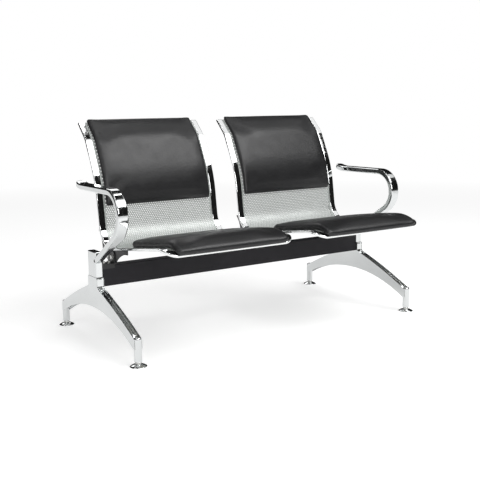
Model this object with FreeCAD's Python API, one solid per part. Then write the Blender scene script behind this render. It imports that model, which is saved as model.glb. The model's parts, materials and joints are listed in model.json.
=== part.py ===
import FreeCAD, Part

import math
import os

# Two-seat beam seating. Millimetres, +Z up, X along the beam, sitters face -Y.
# Everything is laid out from the middle of the beam, then moved so that the origin
# lies on the floor under the middle of the whole bench.

# Beam: it runs on past the outer rims by the overhang
beam_overhang = 37.5
beam_depth = 40.0
beam_height = 75.0
beam_wall = 2.0
beam_corner = 4.0
beam_bottom = 208.0

# Legs: one casting at each end, an upright column on two spreading arms
leg_width = 27.0
column_front = 27.0
column_rear = 41.0
column_top = 244.0
arm_root_height = 204.0
arm_hump = 6.0
arm_root_round = 12.0
arch_height = 139.0
foot_spread = 312.0
post_diameter = 27.0
post_top = 99.0
post_bottom = 15.0
post_dome = 7.0
post_foot_chamfer = 2.0
arm_end_top = 88.0
arm_end_bottom = 60.0
arm_edge = 5.0
channel_rim = 3.5
channel_depth = 3.0
channel_rib = 2.0
channel_rib_height = 1.2
channel_gap = 14.0

# Tongues of the castings inside the beam
tongue_length = 44.0
tongue_clearance = 0.3
tongue_chamfer = 2.5
tongue_screw_inset = 26.0
tongue_screw_spacing = 18.0
tongue_screw_end = 4.0

# Armrests: an upper block on the column with a forward loop of flat band
block_top = 334.0
block_edge = 5.0
band_width = 40.0
band_thickness = 22.0
band_edge = 7.0
band_base_width = 27.0
band_root = 12.0
band_root_drop = 33.3
band_taper_top = 420.0
rest_height = 556.0
rest_reach = 230.0
rest_corner_radius = 78.0
rest_lower_radius = 85.0
rest_tail_length = 62.0
rest_tail_radius = 120.0
rest_tail_rise = 20.0
rest_tail_tip = 12.0

# Seats: side profile of the front face of the rim, walked from the front edge to the top
seat_width = 500.0
seat_gap = 98.0
bend_corner_y = 62.9
bend_corner_z = 332.1
seat_rise = 7.7
front_drop = 36.0
front_radius = 100.0
front_lead = 12.0
seat_run = 349.0
bend_radius = 82.0
bend_turn = 90.0
lumbar_run = 85.0
back_radius = 430.0
back_turn = 18.0
shoulder_run = 82.0
top_radius = 110.0
top_turn = 20.0
top_run = 65.0

rim_width = 25.0
rim_thickness = 10.0
rim_edge = 3.0
rim_corner = 45.0
sheet_thickness = 1.5
sheet_recess = 3.0

# Pads and the boards inside them
pad_clearance = 1.0
pad_lift = 0.3
pad_foot_draw = 0.32
pad_shoulder_draw = 0.51
pad_side_height = 0.40
pad_shoulder_height = 0.78
pad_crown = 0.10
pad_end_length = 34.0
pad_end_share = 0.35
pad_end_steps = (0.0, 0.03, 0.11, 0.26, 0.48, 0.74, 1.0)
pad_section_spacing = 26.0
seat_pad_thickness = 28.0
seat_pad_corner = 40.0
seat_pad_rear = 102.0
seat_pad_front = 6.0
back_pad_thickness = 22.0
back_pad_corner = 22.0
back_pad_start = 62.0
back_pad_overhang = 12.0
board_thickness = 4.0
board_inset = 22.0

# Saddles on the beam and cradle webs under the rims
saddle_thickness = 4.0
saddle_length = 46.0
saddle_lip = 12.0
saddle_lip_thickness = 3.0
ear_height = 46.0
ear_depth = 52.0
web_thickness = 4.0
web_front = 108.0
web_front_height = 17.0
web_rear_bulge = 27.0
web_top_rise = 12.0
web_floor_gap = 2.0
web_foot_front = 8.0
web_foot_rear = 12.0
web_sweep_along = 0.55
web_sweep_down = 0.28
web_gusset_along = 0.38
web_gusset_down = 0.75

# Fasteners
m8 = 8.0
m8_head = 13.0
m8_head_height = 5.3
m8_washer = 16.0
washer_thickness = 1.6
m8_nut_height = 6.5
m8_bolt_end = 2.0
m10 = 10.0
m10_head = 16.0
m10_head_height = 10.0
m10_socket = 8.0
m10_socket_depth = 5.0
button_head_height = 4.4
button_head_round = 2.0
button_socket = 5.0
button_socket_depth = 2.4
screw_play = 0.05
hole_play = 0.4
head_play = 0.8
screw_end_room = 2.0
outer_bolt_end = 8.0
saddle_bolt_near = 14.0
saddle_bolt_far = 34.0
ear_bolt_height = 22.0
ear_bolt_spacing = 28.0
rivet_nut_diameter = 11.0
rivet_nut_flange = 13.0
rivet_nut_flange_height = 1.0
rivet_nut_length = 15.0
column_bolt_head_z = 176.0
column_bolt_top = 322.0
set_screw_height = 313.0
set_screw_diameter = 8.0
set_screw_socket = 4.0
set_screw_socket_depth = 3.0
set_screw_sink = 1.5
pad_screw_diameter = 5.0
pad_screw_head = 9.5
pad_screw_head_height = 2.5
pad_screw_inset = 70.0

# Levelling glides
glide_diameter = 58.0
glide_edge = 2.0
glide_rise = 8.5
glide_bulge = 0.62
glide_sheet = 2.0
glide_collar = 19.0
glide_collar_gap = 0.2
stem_diameter = 10.0
stem_chamfer = 1.0
stem_foot = 2.0
stem_play = 0.06
stem_length = 46.0
stem_bore_end = 2.0
insert_clearance = 0.2

# Further than any piece reaches, for the shapes that cut right through
far = 2000.0

up = FreeCAD.Vector(0, 0, 1)
rear = FreeCAD.Vector(0, 1, 0)

beam_length = seat_gap + 2 * seat_width + 2 * beam_overhang
beam_top = beam_bottom + beam_height
leg_x = beam_length / 2 + leg_width / 2
seat_x = seat_gap / 2 + seat_width / 2
rear_reach = foot_spread + glide_diameter / 2


def v(x, y, z):
    return FreeCAD.Vector(x, y, z)


def box(x0, x1, y0, y1, z0, z1):
    low = v(min(x0, x1), min(y0, y1), min(z0, z1))
    return Part.makeBox(abs(x1 - x0), abs(y1 - y0), abs(z1 - z0), low)


def rod(radius, start, end):
    return Part.makeCylinder(radius, (end - start).Length, start, end - start)


def hexagon(across_flats, start, end):
    axis = (end - start).normalize()
    side = axis.cross(up)
    if side.Length < 0.1:
        side = axis.cross(rear)
    side.normalize()
    other = axis.cross(side)
    corner = across_flats / math.sqrt(3)
    points = []
    for k in range(7):
        turn = math.radians(60 * k)
        points.append(start + side * (corner * math.cos(turn)) + other * (corner * math.sin(turn)))
    face = Part.Face(Part.makePolygon(points))
    return face.extrude(axis * (end - start).Length)


def line(a, b):
    return Part.LineSegment(a, b).toShape()


def arc(a, middle, b):
    return Part.Arc(a, middle, b).toShape()


def between(a, b, along, down):
    # A point part of the way from a to b, with its own share of the way in Y and in Z
    return v(0, a.y + along * (b.y - a.y), a.z + down * (b.z - a.z))


def slab(edges, x0, x1):
    # A closed outline in a plane of constant X, pulled from x0 to x1
    face = Part.Face(Part.Wire(edges))
    face.translate(v(x0, 0, 0))
    return face.extrude(v(x1 - x0, 0, 0))


def edges_on_sides(shape, x0, x1):
    # The edges that lie in the two end planes of a slab
    found = []
    for edge in shape.Edges:
        low = edge.BoundBox.XMin
        high = edge.BoundBox.XMax
        if high - low < 0.01 and (abs(low - x0) < 0.01 or abs(low - x1) < 0.01):
            found.append(edge)
    return found


def upright_edges(shape):
    found = []
    for edge in shape.Edges:
        box_of = edge.BoundBox
        if box_of.ZLength > 1 and box_of.XLength < 0.01 and box_of.YLength < 0.01:
            found.append(edge)
    return found


def mirrored(shape):
    return shape.mirror(v(0, 0, 0), v(1, 0, 0))


# Walks: runs and turns in the YZ plane

class Walk:
    def __init__(self, moves, start, heading):
        self.moves = moves
        self.start = start
        self.heading = heading

    def length(self):
        return sum(move[1] for move in self.moves)

    def place(self, station, offset):
        # Point and heading at a distance along the walk, offset to its left
        y, z = self.start
        heading = self.heading
        left = station
        for kind, size, radius, turn in self.moves:
            step = min(left, size)
            if kind == "run":
                y += step * math.cos(heading)
                z += step * math.sin(heading)
            else:
                angle = turn * step / size
                side = 1 if turn > 0 else -1
                centre_y = y - side * radius * math.sin(heading)
                centre_z = z + side * radius * math.cos(heading)
                heading += angle
                y = centre_y + side * radius * math.sin(heading)
                z = centre_z - side * radius * math.cos(heading)
            left -= step
            if left <= 0:
                break
        y -= offset * math.sin(heading)
        z += offset * math.cos(heading)
        return y, z, heading

    def point(self, station, offset, x=0.0):
        y, z, heading = self.place(station, offset)
        return v(x, y, z)

    def edges(self, begin, end, offset):
        # The edges of the offset walk between two stations
        found = []
        reached = 0.0
        for kind, size, radius, turn in self.moves:
            a = max(begin, reached)
            b = min(end, reached + size)
            if b - a > 0.001:
                first = self.point(a, offset)
                last = self.point(b, offset)
                if kind == "run":
                    found.append(line(first, last))
                else:
                    found.append(arc(first, self.point((a + b) / 2, offset), last))
            reached += size
        return found

    def strip(self, begin, end, low, high, x0, x1):
        lower = self.edges(begin, end, low)
        upper = self.edges(begin, end, high)
        first = line(self.point(begin, low), self.point(begin, high))
        last = line(self.point(end, low), self.point(end, high))
        return slab(lower + [last] + upper[::-1] + [first], x0, x1)


def run(length):
    return ("run", length, 0.0, 0.0)


def turn(radius, degrees):
    return ("turn", radius * math.radians(abs(degrees)), radius, math.radians(degrees))


# Side profile of a seat, tied to the corner where the seat line meets the back line

front_moves = [run(front_lead), turn(front_radius, -(front_drop + seat_rise)), run(seat_run)]
back_moves = [
    turn(bend_radius, bend_turn),
    run(lumbar_run),
    turn(back_radius, -back_turn),
    run(shoulder_run),
    turn(top_radius, -top_turn),
    run(top_run + back_pad_overhang),
]
trial = Walk(front_moves, (0.0, 0.0), math.radians(front_drop))
trial_end = trial.place(trial.length(), 0.0)
tangent = bend_radius * math.tan(math.radians(bend_turn) / 2)
bend_start_y = bend_corner_y - tangent * math.cos(math.radians(seat_rise))
bend_start_z = bend_corner_z + tangent * math.sin(math.radians(seat_rise))
profile_start = (bend_start_y - trial_end[0], bend_start_z - trial_end[1])
profile = Walk(front_moves + back_moves, profile_start, math.radians(front_drop))

station_bend = trial.length()
station_bend_end = station_bend + turn(bend_radius, bend_turn)[1]
station_top = profile.length() - back_pad_overhang
pad_base = -sheet_recess + pad_lift
front_face = -profile.point(front_lead, 0.0).y
origin_shift = (front_face - rear_reach) / 2


# Seat rim and perforated sheet

def plan_outline(half_width, front, corner, reach):
    # Seat outline seen from above: round front corners, straight back to the rear
    bow = corner * (1 - math.sqrt(0.5))
    left = -half_width
    right = half_width
    edges = [
        line(v(left, reach, 0), v(left, front + corner, 0)),
        arc(v(left, front + corner, 0), v(left + bow, front + bow, 0), v(left + corner, front, 0)),
        line(v(left + corner, front, 0), v(right - corner, front, 0)),
        arc(v(right - corner, front, 0), v(right - bow, front + bow, 0), v(right, front + corner, 0)),
        line(v(right, front + corner, 0), v(right, reach, 0)),
        line(v(right, reach, 0), v(left, reach, 0)),
    ]
    prism = Part.Face(Part.Wire(edges)).extrude(v(0, 0, 2 * far))
    prism.translate(v(0, 0, -far))
    return prism


inner_corner = rim_corner - rim_width
outer_plan = plan_outline(seat_width / 2, -front_face, rim_corner, far)
inner_plan = plan_outline(seat_width / 2 - rim_width, -front_face + rim_width, inner_corner, far)


def seat_rim():
    half = seat_width / 2
    whole = profile.strip(0.0, station_top, -rim_thickness, 0.0, -half, half)
    shape = whole.common(outer_plan).cut(inner_plan)
    shape = shape.removeSplitter()
    long_edges = []
    for edge in shape.Edges:
        near_end = edge.BoundBox.ZMax > profile.point(station_top, -rim_thickness).z
        across = edge.BoundBox.XLength < 0.01 and edge.Length < rim_thickness + 0.5
        if not near_end and not across:
            long_edges.append(edge)
    return shape, long_edges


def rounded_rim():
    shape, long_edges = seat_rim()
    return shape.makeFillet(rim_edge, long_edges)


def pad_screw_places():
    # Station, X and the pad's board for each screw of one seat
    places = []
    half = seat_width / 2 - rim_width - pad_screw_inset
    seat_a = seat_board_begin() + pad_screw_inset
    seat_b = seat_board_end() - pad_screw_inset / 2
    back_a = back_board_begin() + pad_screw_inset / 2
    back_b = back_board_end() - pad_screw_inset / 2
    for station in (seat_a, seat_b, back_a, back_b):
        for x in (-half, half):
            places.append((station, x))
    return places


def seat_pad_begin():
    return front_lead + seat_pad_front


def seat_pad_end():
    return station_bend - seat_pad_rear


def back_pad_begin():
    return station_bend_end + back_pad_start


def back_pad_end():
    return station_top + back_pad_overhang


def seat_board_begin():
    return seat_pad_begin() + board_inset


def seat_board_end():
    return seat_pad_end() - board_inset


def back_board_begin():
    return back_pad_begin() + board_inset


def back_board_end():
    return station_top - board_inset / 2


def normal_rod(radius, station, x, low, high):
    return rod(radius, profile.point(station, low, x), profile.point(station, high, x))


def seat_sheet():
    half = seat_width / 2
    low = -sheet_recess - sheet_thickness
    shape = profile.strip(0.0, station_top, low, -sheet_recess, -half, half).common(inner_plan)
    for station, x in pad_screw_places():
        hole = pad_screw_diameter / 2 + screw_play
        shape = shape.cut(normal_rod(hole, station, x, low - 5, -sheet_recess + 5))
    return shape


def board(begin, end):
    half = seat_width / 2 - rim_width - board_inset
    low = -sheet_recess
    shape = profile.strip(begin, end, low, low + board_thickness, -half, half)
    for station, x in pad_screw_places():
        if begin < station < end:
            hole = pad_screw_diameter / 2 + screw_play
            shape = shape.cut(normal_rod(hole, station, x, low - 5, low + board_thickness + 5))
    return shape


def pad_section(station, half, thickness, base):
    # Closed section across the pad: flat underside, drawn-in sides, crowned top
    foot = half - pad_foot_draw * thickness
    shoulder = half - pad_shoulder_draw * thickness
    shoulder_height = base + pad_shoulder_height * thickness
    corners = [
        profile.point(station, base, -foot),
        profile.point(station, base, foot),
        profile.point(station, shoulder_height, shoulder),
        profile.point(station, shoulder_height, -shoulder),
    ]
    side_height = base + pad_side_height * thickness
    side = profile.point(station, side_height, half)
    crown = profile.point(station, base + thickness, 0.0)
    other_side = profile.point(station, side_height, -half)
    edges = [
        line(corners[0], corners[1]),
        arc(corners[1], side, corners[2]),
        arc(corners[2], crown, corners[3]),
        arc(corners[3], other_side, corners[0]),
    ]
    return Part.Wire(edges)


def pad_stations(length):
    # Close together in the rolled ends, evenly spread between them
    roll = pad_end_length
    middle = length - 2 * roll
    spans = max(1, round(middle / pad_section_spacing))
    stations = [roll * step for step in pad_end_steps]
    stations += [roll + middle * k / spans for k in range(1, spans)]
    stations += [length - roll * step for step in reversed(pad_end_steps)]
    return stations


def pad(begin, end, thickness, corner):
    # Lofted cushion: it thins and narrows towards its two rolled ends
    half = seat_width / 2 - rim_width - pad_clearance
    length = end - begin
    wires = []
    for along in pad_stations(length):
        from_end = min(along, length - along, pad_end_length) / pad_end_length
        swell = math.sqrt(1 - (1 - from_end) ** 2)
        full = thickness * (1 - pad_crown + pad_crown * math.sin(math.pi * along / length))
        local = full * (pad_end_share + (1 - pad_end_share) * swell)
        narrow = corner * (1 - swell)
        wires.append(pad_section(begin + along, half - narrow, local, pad_base))
    return Part.makeLoft(wires, True, True)


def rim_room():
    # The space of the rim with the pads' clearance around it
    half = seat_width / 2
    inside = plan_outline(
        half - rim_width - pad_lift, -front_face + rim_width + pad_lift, inner_corner, far
    )
    return profile.strip(0.0, station_top, -rim_thickness, pad_lift, -half, half).cut(inside)


def pad_over_board(begin, end, thickness, corner, board_begin, board_end):
    half = seat_width / 2 - rim_width - board_inset + pad_lift
    top = -sheet_recess + board_thickness + pad_lift
    below = pad_base - pad_end_length
    board_room = profile.strip(board_begin - pad_lift, board_end + pad_lift, below, top, -half, half)
    under = profile.strip(0.0, profile.length(), below, pad_base, -seat_width, seat_width)
    whole = pad(begin, end, thickness, corner)
    return whole.cut(under).cut(board_room).cut(rim_room())


def pad_screws():
    # Pan head behind the sheet, shank through the sheet into the board
    solids = []
    back_of_sheet = -sheet_recess - sheet_thickness - screw_play
    tip = -sheet_recess + board_thickness
    for station, x in pad_screw_places():
        head = normal_rod(pad_screw_head / 2, station, x, back_of_sheet - pad_screw_head_height, back_of_sheet)
        shank = normal_rod(pad_screw_diameter / 2, station, x, back_of_sheet, tip)
        solids.append(head.fuse(shank).removeSplitter())
    return Part.makeCompound(solids)


# Cradle webs, saddles and their bolts. Local X is zero in the middle of a web and
# grows towards the end of the bench.

saddle_top = beam_top + saddle_thickness
outer_bolt_tip = column_top + outer_bolt_end
inner_bolt_tip = beam_top - rivet_nut_length - screw_end_room


def web_place(direction):
    return direction * (seat_width / 2 - rim_width / 2)


def cradle_web():
    begin = station_bend - web_front
    end = station_bend_end - web_top_rise
    under = -rim_thickness
    upper = profile.edges(begin, end, under)
    a = profile.point(begin, under)
    b = profile.point(end, under)
    nose = a + v(0, 0, -web_front_height)
    floor = saddle_top + web_floor_gap
    front_foot = v(0, -beam_depth / 2 - web_foot_front, floor)
    rear_foot = v(0, beam_depth / 2 + web_foot_rear, floor)
    shallow = between(nose, front_foot, web_sweep_along, web_sweep_down)
    heel = profile.point(end, under - web_rear_bulge)
    low_back = between(heel, rear_foot, web_gusset_along, web_gusset_down)
    knee = profile.point((station_bend + 2 * end) / 3, under - web_rear_bulge)
    edges = upper + [
        line(b, heel),
        arc(heel, knee, low_back),
        line(low_back, rear_foot),
        line(rear_foot, front_foot),
        arc(front_foot, shallow, nose),
        line(nose, a),
    ]
    shape = slab(edges, -web_thickness / 2, web_thickness / 2)
    for y, z in ear_bolt_places():
        shape = shape.cut(rod(m8 / 2 + hole_play / 2, v(-far, y, z), v(far, y, z)))
    return shape


def ear_bolt_places():
    z = saddle_top + ear_bolt_height
    return [(-ear_bolt_spacing / 2, z), (ear_bolt_spacing / 2, z)]


def saddle_bolt_places():
    return [web_thickness / 2 + saddle_bolt_near, web_thickness / 2 + saddle_bolt_far]


def saddle():
    # Base plate with front and rear lips on the beam, and an upright ear beside the web
    inner = web_thickness / 2
    outer = inner + saddle_length
    half = beam_depth / 2
    base = box(inner, outer, -half - saddle_lip_thickness, half + saddle_lip_thickness, beam_top, saddle_top)
    lip_low = beam_top - saddle_lip
    front_lip = box(inner, outer, -half - saddle_lip_thickness, -half, lip_low, beam_top)
    rear_lip = box(inner, outer, half, half + saddle_lip_thickness, lip_low, beam_top)
    ear = box(inner, inner + saddle_thickness, -ear_depth / 2, ear_depth / 2, beam_top, beam_top + ear_height)
    ear_rounds = []
    for edge in ear.Edges:
        if edge.BoundBox.XLength > 1 and edge.BoundBox.ZMin > beam_top + 1:
            ear_rounds.append(edge)
    ear = ear.makeFillet(ear_depth / 5, ear_rounds)
    shape = base.fuse([front_lip, rear_lip, ear]).removeSplitter()
    for y, z in ear_bolt_places():
        shape = shape.cut(rod(m8 / 2 + hole_play / 2, v(-far, y, z), v(far, y, z)))
    for x in saddle_bolt_places():
        shape = shape.cut(rod(m8 / 2 + hole_play / 2, v(x, 0, -far), v(x, 0, far)))
    return shape


def saddle_bolts(tip_z):
    # Hex bolts down through the saddle, each with a washer under its head
    solids = []
    for x in saddle_bolt_places():
        seat = saddle_top + washer_thickness
        head = hexagon(m8_head, v(x, 0, seat), v(x, 0, seat + m8_head_height))
        shank = rod(m8 / 2, v(x, 0, tip_z), v(x, 0, seat))
        solids.append(head.fuse(shank).removeSplitter())
        ring = rod(m8_washer / 2, v(x, 0, saddle_top), v(x, 0, seat))
        solids.append(ring.cut(rod(m8 / 2 + screw_play, v(x, 0, saddle_top - 1), v(x, 0, seat + 1))))
    return solids


def ear_bolts():
    # Bolts through ear and web, head and washer on the ear side
    outer = web_thickness / 2 + saddle_thickness
    inner = -web_thickness / 2
    solids = []
    for y, z in ear_bolt_places():
        seat = outer + washer_thickness
        head = hexagon(m8_head, v(seat, y, z), v(seat + m8_head_height, y, z))
        shank = rod(m8 / 2, v(inner - m8_nut_height - m8_bolt_end, y, z), v(seat, y, z))
        solids.append(head.fuse(shank).removeSplitter())
        ring = rod(m8_washer / 2, v(outer, y, z), v(seat, y, z))
        solids.append(ring.cut(rod(m8 / 2 + screw_play, v(outer - 1, y, z), v(seat + 1, y, z))))
    return solids


def ear_nuts():
    inner = -web_thickness / 2
    solids = []
    for y, z in ear_bolt_places():
        nut = hexagon(m8_head, v(inner - m8_nut_height, y, z), v(inner, y, z))
        bore = rod(m8 / 2 + screw_play, v(inner - m8_nut_height - 1, y, z), v(inner + 1, y, z))
        solids.append(nut.cut(bore))
    return solids


def rivet_nuts():
    solids = []
    wall_low = beam_top - beam_wall
    for x in saddle_bolt_places():
        flange_low = wall_low - rivet_nut_flange_height
        body = rod(rivet_nut_diameter / 2, v(x, 0, beam_top - rivet_nut_length), v(x, 0, beam_top))
        flange = rod(rivet_nut_flange / 2, v(x, 0, flange_low), v(x, 0, wall_low))
        bore = rod(m8 / 2 + screw_play, v(x, 0, beam_top - rivet_nut_length - 1), v(x, 0, beam_top + 1))
        solids.append(body.fuse(flange).removeSplitter().cut(bore))
    return solids


# Beam

def inner_web_x():
    return seat_x - web_place(1)


def outer_web_x():
    return seat_x + web_place(1)


def tongue_screw_places():
    z = beam_bottom + (column_top - beam_bottom) / 2
    outer = beam_length / 2 - tongue_screw_inset / 2
    return [(outer, z), (outer - tongue_screw_spacing, z)]


def beam_tube():
    half = beam_length / 2
    outer = box(-half, half, -beam_depth / 2, beam_depth / 2, beam_bottom, beam_top)
    long_edges = [edge for edge in outer.Edges if edge.BoundBox.XLength > 1]
    outer = outer.makeFillet(beam_corner, long_edges)
    low = beam_bottom + beam_wall
    deep = beam_depth / 2 - beam_wall
    inner = box(-half, half, -deep, deep, low, beam_top - beam_wall)
    long_edges = [edge for edge in inner.Edges if edge.BoundBox.XLength > 1]
    inner = inner.makeFillet(beam_corner - beam_wall, long_edges)
    shape = outer.cut(inner)
    middle = (beam_bottom + beam_top) / 2
    for side in (-1, 1):
        for local in saddle_bolt_places():
            x = side * (inner_web_x() + local)
            shape = shape.cut(rod(rivet_nut_diameter / 2 + screw_play, v(x, 0, middle), v(x, 0, far)))
            x = side * (outer_web_x() + local)
            shape = shape.cut(rod(m8 / 2 + hole_play / 2, v(x, 0, middle), v(x, 0, far)))
        for x, z in tongue_screw_places():
            hole = rod(m8 / 2 + hole_play / 2, v(side * x, 0, z), v(side * x, beam_depth, z))
            shape = shape.cut(hole)
    return shape


# Right-hand leg: column, two arms, two posts and a tongue into the beam

def tongue(low, high):
    # A block inside the beam end that reaches inwards from the column
    start = beam_length / 2
    deep = beam_depth / 2 - beam_wall - tongue_clearance
    shape = box(start - tongue_length, start + 1, -deep, deep, low, high)
    long_edges = [edge for edge in shape.Edges if edge.BoundBox.XLength > 1]
    return shape.makeChamfer(tongue_chamfer, long_edges)


def arm_top_point(side, share, drop):
    # Points along the top of an arm, from its root at the column to the post
    root_y = column_front if side < 0 else column_rear
    y = side * (root_y + share * (foot_spread - root_y))
    z = arm_root_height + share * (arm_end_top - arm_root_height)
    hump = arm_hump * math.sin(math.pi * share)
    return v(0, y, z + hump - drop)


def leg_outline():
    apex = v(0, 0, arch_height)
    front_low = v(0, -foot_spread, arm_end_bottom)
    rear_low = v(0, foot_spread, arm_end_bottom)
    front_root = arm_top_point(-1, 0, 0)
    front_tip = arm_top_point(-1, 1, 0)
    rear_root = arm_top_point(1, 0, 0)
    rear_tip = arm_top_point(1, 1, 0)
    front_head = v(0, -column_front, column_top)
    rear_head = v(0, column_rear, column_top)
    return [
        line(rear_head, front_head),
        line(front_head, front_root),
        arc(front_root, arm_top_point(-1, 0.5, 0), front_tip),
        line(front_tip, front_low),
        arc(front_low, apex, rear_low),
        line(rear_low, rear_tip),
        arc(rear_tip, arm_top_point(1, 0.5, 0), rear_root),
        line(rear_root, rear_head),
    ]


def channel(side):
    # The long recess in the top of an arm, with round ends and a rib along its floor
    root_y = column_front if side < 0 else column_rear
    half = leg_width / 2 - channel_rim
    near = side * (root_y + channel_gap)
    far = side * (foot_spread - channel_gap)
    low = min(near, far) + half
    high = max(near, far) - half
    plan = Part.Wire([
        line(v(-half, low, 0), v(-half, high, 0)),
        arc(v(-half, high, 0), v(0, high + half, 0), v(half, high, 0)),
        line(v(half, high, 0), v(half, low, 0)),
        arc(v(half, low, 0), v(0, low - half, 0), v(-half, low, 0)),
    ])
    prism = Part.Face(plan).extrude(v(0, 0, far))
    sweep = []
    for drop in (channel_depth, channel_depth - channel_rib_height):
        floor = [
            arc(arm_top_point(side, 0, drop), arm_top_point(side, 0.5, drop), arm_top_point(side, 1, drop)),
            line(arm_top_point(side, 1, drop), arm_top_point(side, 1, -column_top)),
            line(arm_top_point(side, 1, -column_top), arm_top_point(side, 0, -column_top)),
            line(arm_top_point(side, 0, -column_top), arm_top_point(side, 0, drop)),
        ]
        sweep.append(slab(floor, -leg_width, leg_width))
    recess = prism.common(sweep[0])
    rib = box(-channel_rib / 2, channel_rib / 2, low, high, 0, far).common(sweep[0]).cut(sweep[1])
    return recess.cut(rib)


def glide_bore(y):
    top = v(0, y, post_bottom + stem_length + stem_bore_end)
    return rod(stem_diameter / 2 + stem_play, v(0, y, 0), top)


def post(y):
    shape = rod(post_diameter / 2, v(0, y, post_bottom), v(0, y, post_top))
    top_edges = [edge for edge in shape.Edges if edge.BoundBox.ZMin > post_top - 0.1]
    shape = shape.makeFillet(post_dome, top_edges)
    low_edges = [edge for edge in shape.Edges if edge.BoundBox.ZMax < post_bottom + 0.1]
    return shape.makeChamfer(post_foot_chamfer, low_edges)


def column_mid():
    return (column_rear - column_front) / 2


def leg():
    half = leg_width / 2
    shape = slab(leg_outline(), -half, half)
    roots = []
    for edge in shape.Edges:
        at_root = abs(edge.BoundBox.ZMin - arm_root_height) < 0.01
        if at_root and edge.BoundBox.XLength > 1:
            roots.append(edge)
    shape = shape.makeFillet(arm_root_round, roots)
    sides = edges_on_sides(shape, -half, half)
    rounds = [edge for edge in sides if edge.BoundBox.ZMax < column_top - 0.1]
    shape = shape.makeFillet(arm_edge, rounds)
    for side in (-1, 1):
        shape = shape.cut(channel(side))
    for side in (-1, 1):
        shape = shape.fuse(post(side * foot_spread))
    shape = shape.removeSplitter()
    for side in (-1, 1):
        shape = shape.cut(glide_bore(side * foot_spread))
    y = column_mid()
    shape = shape.cut(rod(m10 / 2 + hole_play / 2, v(0, y, 0), v(0, y, column_top + 1)))
    head_room = column_bolt_head_z + m10_head_height
    shape = shape.cut(rod(m10_head / 2 + head_play / 2, v(0, y, 0), v(0, y, head_room)))
    shape.translate(v(leg_x, 0, 0))
    low = beam_bottom + beam_wall + tongue_clearance
    shape = shape.fuse(tongue(low, column_top - tongue_clearance)).removeSplitter()
    for x, z in tongue_screw_places():
        shape = shape.cut(rod(m8 / 2 + screw_play, v(x, -tongue_screw_end, z), v(x, beam_depth, z)))
    return shape


def tongue_screws():
    # Button heads on the rear of the beam, shanks through its wall into the tongue
    solids = []
    for side in (-1, 1):
        for x, z in tongue_screw_places():
            wall = beam_depth / 2
            top = wall + button_head_height
            head = rod(m8_head / 2, v(side * x, wall, z), v(side * x, top, z))
            rim = [edge for edge in head.Edges if edge.BoundBox.YMin > wall + button_head_height / 2]
            head = head.makeFillet(button_head_round, rim)
            shank = rod(m8 / 2, v(side * x, 0, z), v(side * x, wall, z))
            socket_floor = v(side * x, top - button_socket_depth, z)
            socket = hexagon(button_socket, socket_floor, v(side * x, far, z))
            solids.append(head.fuse(shank).removeSplitter().cut(socket))
    return Part.makeCompound(solids)


def column_bolts():
    # One long socket screw in each column, from under the arch up into the armrest
    solids = []
    for side in (-1, 1):
        x = side * leg_x
        y = column_mid()
        top_of_head = column_bolt_head_z + m10_head_height
        head = rod(m10_head / 2, v(x, y, column_bolt_head_z), v(x, y, top_of_head))
        shank = rod(m10 / 2, v(x, y, top_of_head), v(x, y, column_bolt_top))
        socket_top = v(x, y, column_bolt_head_z + m10_socket_depth)
        socket = hexagon(m10_socket, v(x, y, 0), socket_top)
        solids.append(head.fuse(shank).removeSplitter().cut(socket))
    return Part.makeCompound(solids)


# Right-hand armrest: upper block, tongue and the looped band

def band_walk():
    # Middle line of the band, walked from the block forwards, round and back to the tip.
    # Its first run leaves the block at the angle that meets the lower bend smoothly.
    root_y = -column_front + band_root
    root_z = block_top - band_root_drop
    centre_y = -rest_reach + rest_lower_radius
    centre_z = rest_height - rest_corner_radius
    away = math.hypot(centre_y - root_y, centre_z - root_z)
    swing = math.asin(rest_lower_radius / away)
    heading = math.atan2(centre_z - root_z, centre_y - root_y) + swing
    moves = [
        run(away * math.cos(swing)),
        turn(rest_lower_radius, 90.0 - math.degrees(heading)),
        turn(rest_corner_radius, -90.0),
        run(rest_reach - rest_corner_radius + rest_tail_length),
        turn(rest_tail_radius, rest_tail_rise),
        run(rest_tail_tip),
    ]
    return Walk(moves, (root_y, root_z), heading)


def armrest():
    walk = band_walk()
    half = band_width / 2
    deep = band_thickness / 2
    band = walk.strip(0.0, walk.length(), -deep, deep, -half, half)
    sides = edges_on_sides(band, -half, half)
    end = walk.length()
    corners = []
    for edge in sides:
        if edge.Length > band_thickness + 0.5:
            corners.append(edge)
    band = band.makeFillet(band_edge, corners)
    tip = walk.point(end, 0.0)
    base = band_base_width / 2
    taper = [
        v(-base, -far, 0), v(base, -far, 0), v(base, -far, block_top),
        v(half, -far, band_taper_top), v(half, -far, far),
        v(-half, -far, far), v(-half, -far, band_taper_top),
        v(-base, -far, block_top), v(-base, -far, 0),
    ]
    envelope = Part.Face(Part.makePolygon(taper)).extrude(v(0, 2 * far, 0))
    band = band.common(envelope)
    rounding = rod(half, v(0, tip.y - half, 0), v(0, tip.y - half, far))
    before = box(-far, far, -far, tip.y - half, -far, far)
    band = band.common(rounding.fuse(before))
    block = box(-leg_width / 2, leg_width / 2, -column_front, column_rear, column_top, block_top)
    block = block.makeFillet(block_edge, upright_edges(block))
    shape = block.fuse(band).removeSplitter()
    y = column_mid()
    shape = shape.cut(rod(m10 / 2 + screw_play, v(0, y, column_top - 1), v(0, y, column_bolt_top + 1)))
    shape = shape.cut(rod(set_screw_diameter / 2 + screw_play, v(0, y, set_screw_height), v(leg_width, y, set_screw_height)))
    shape.translate(v(leg_x, 0, 0))
    high = beam_top - beam_wall - tongue_clearance
    shape = shape.fuse(tongue(column_top + tongue_clearance, high)).removeSplitter()
    for local in saddle_bolt_places():
        x = outer_web_x() + local
        tapped_from = v(x, 0, outer_bolt_tip - screw_end_room)
        shape = shape.cut(rod(m8 / 2 + screw_play, tapped_from, v(x, 0, beam_top)))
    return shape


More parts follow.
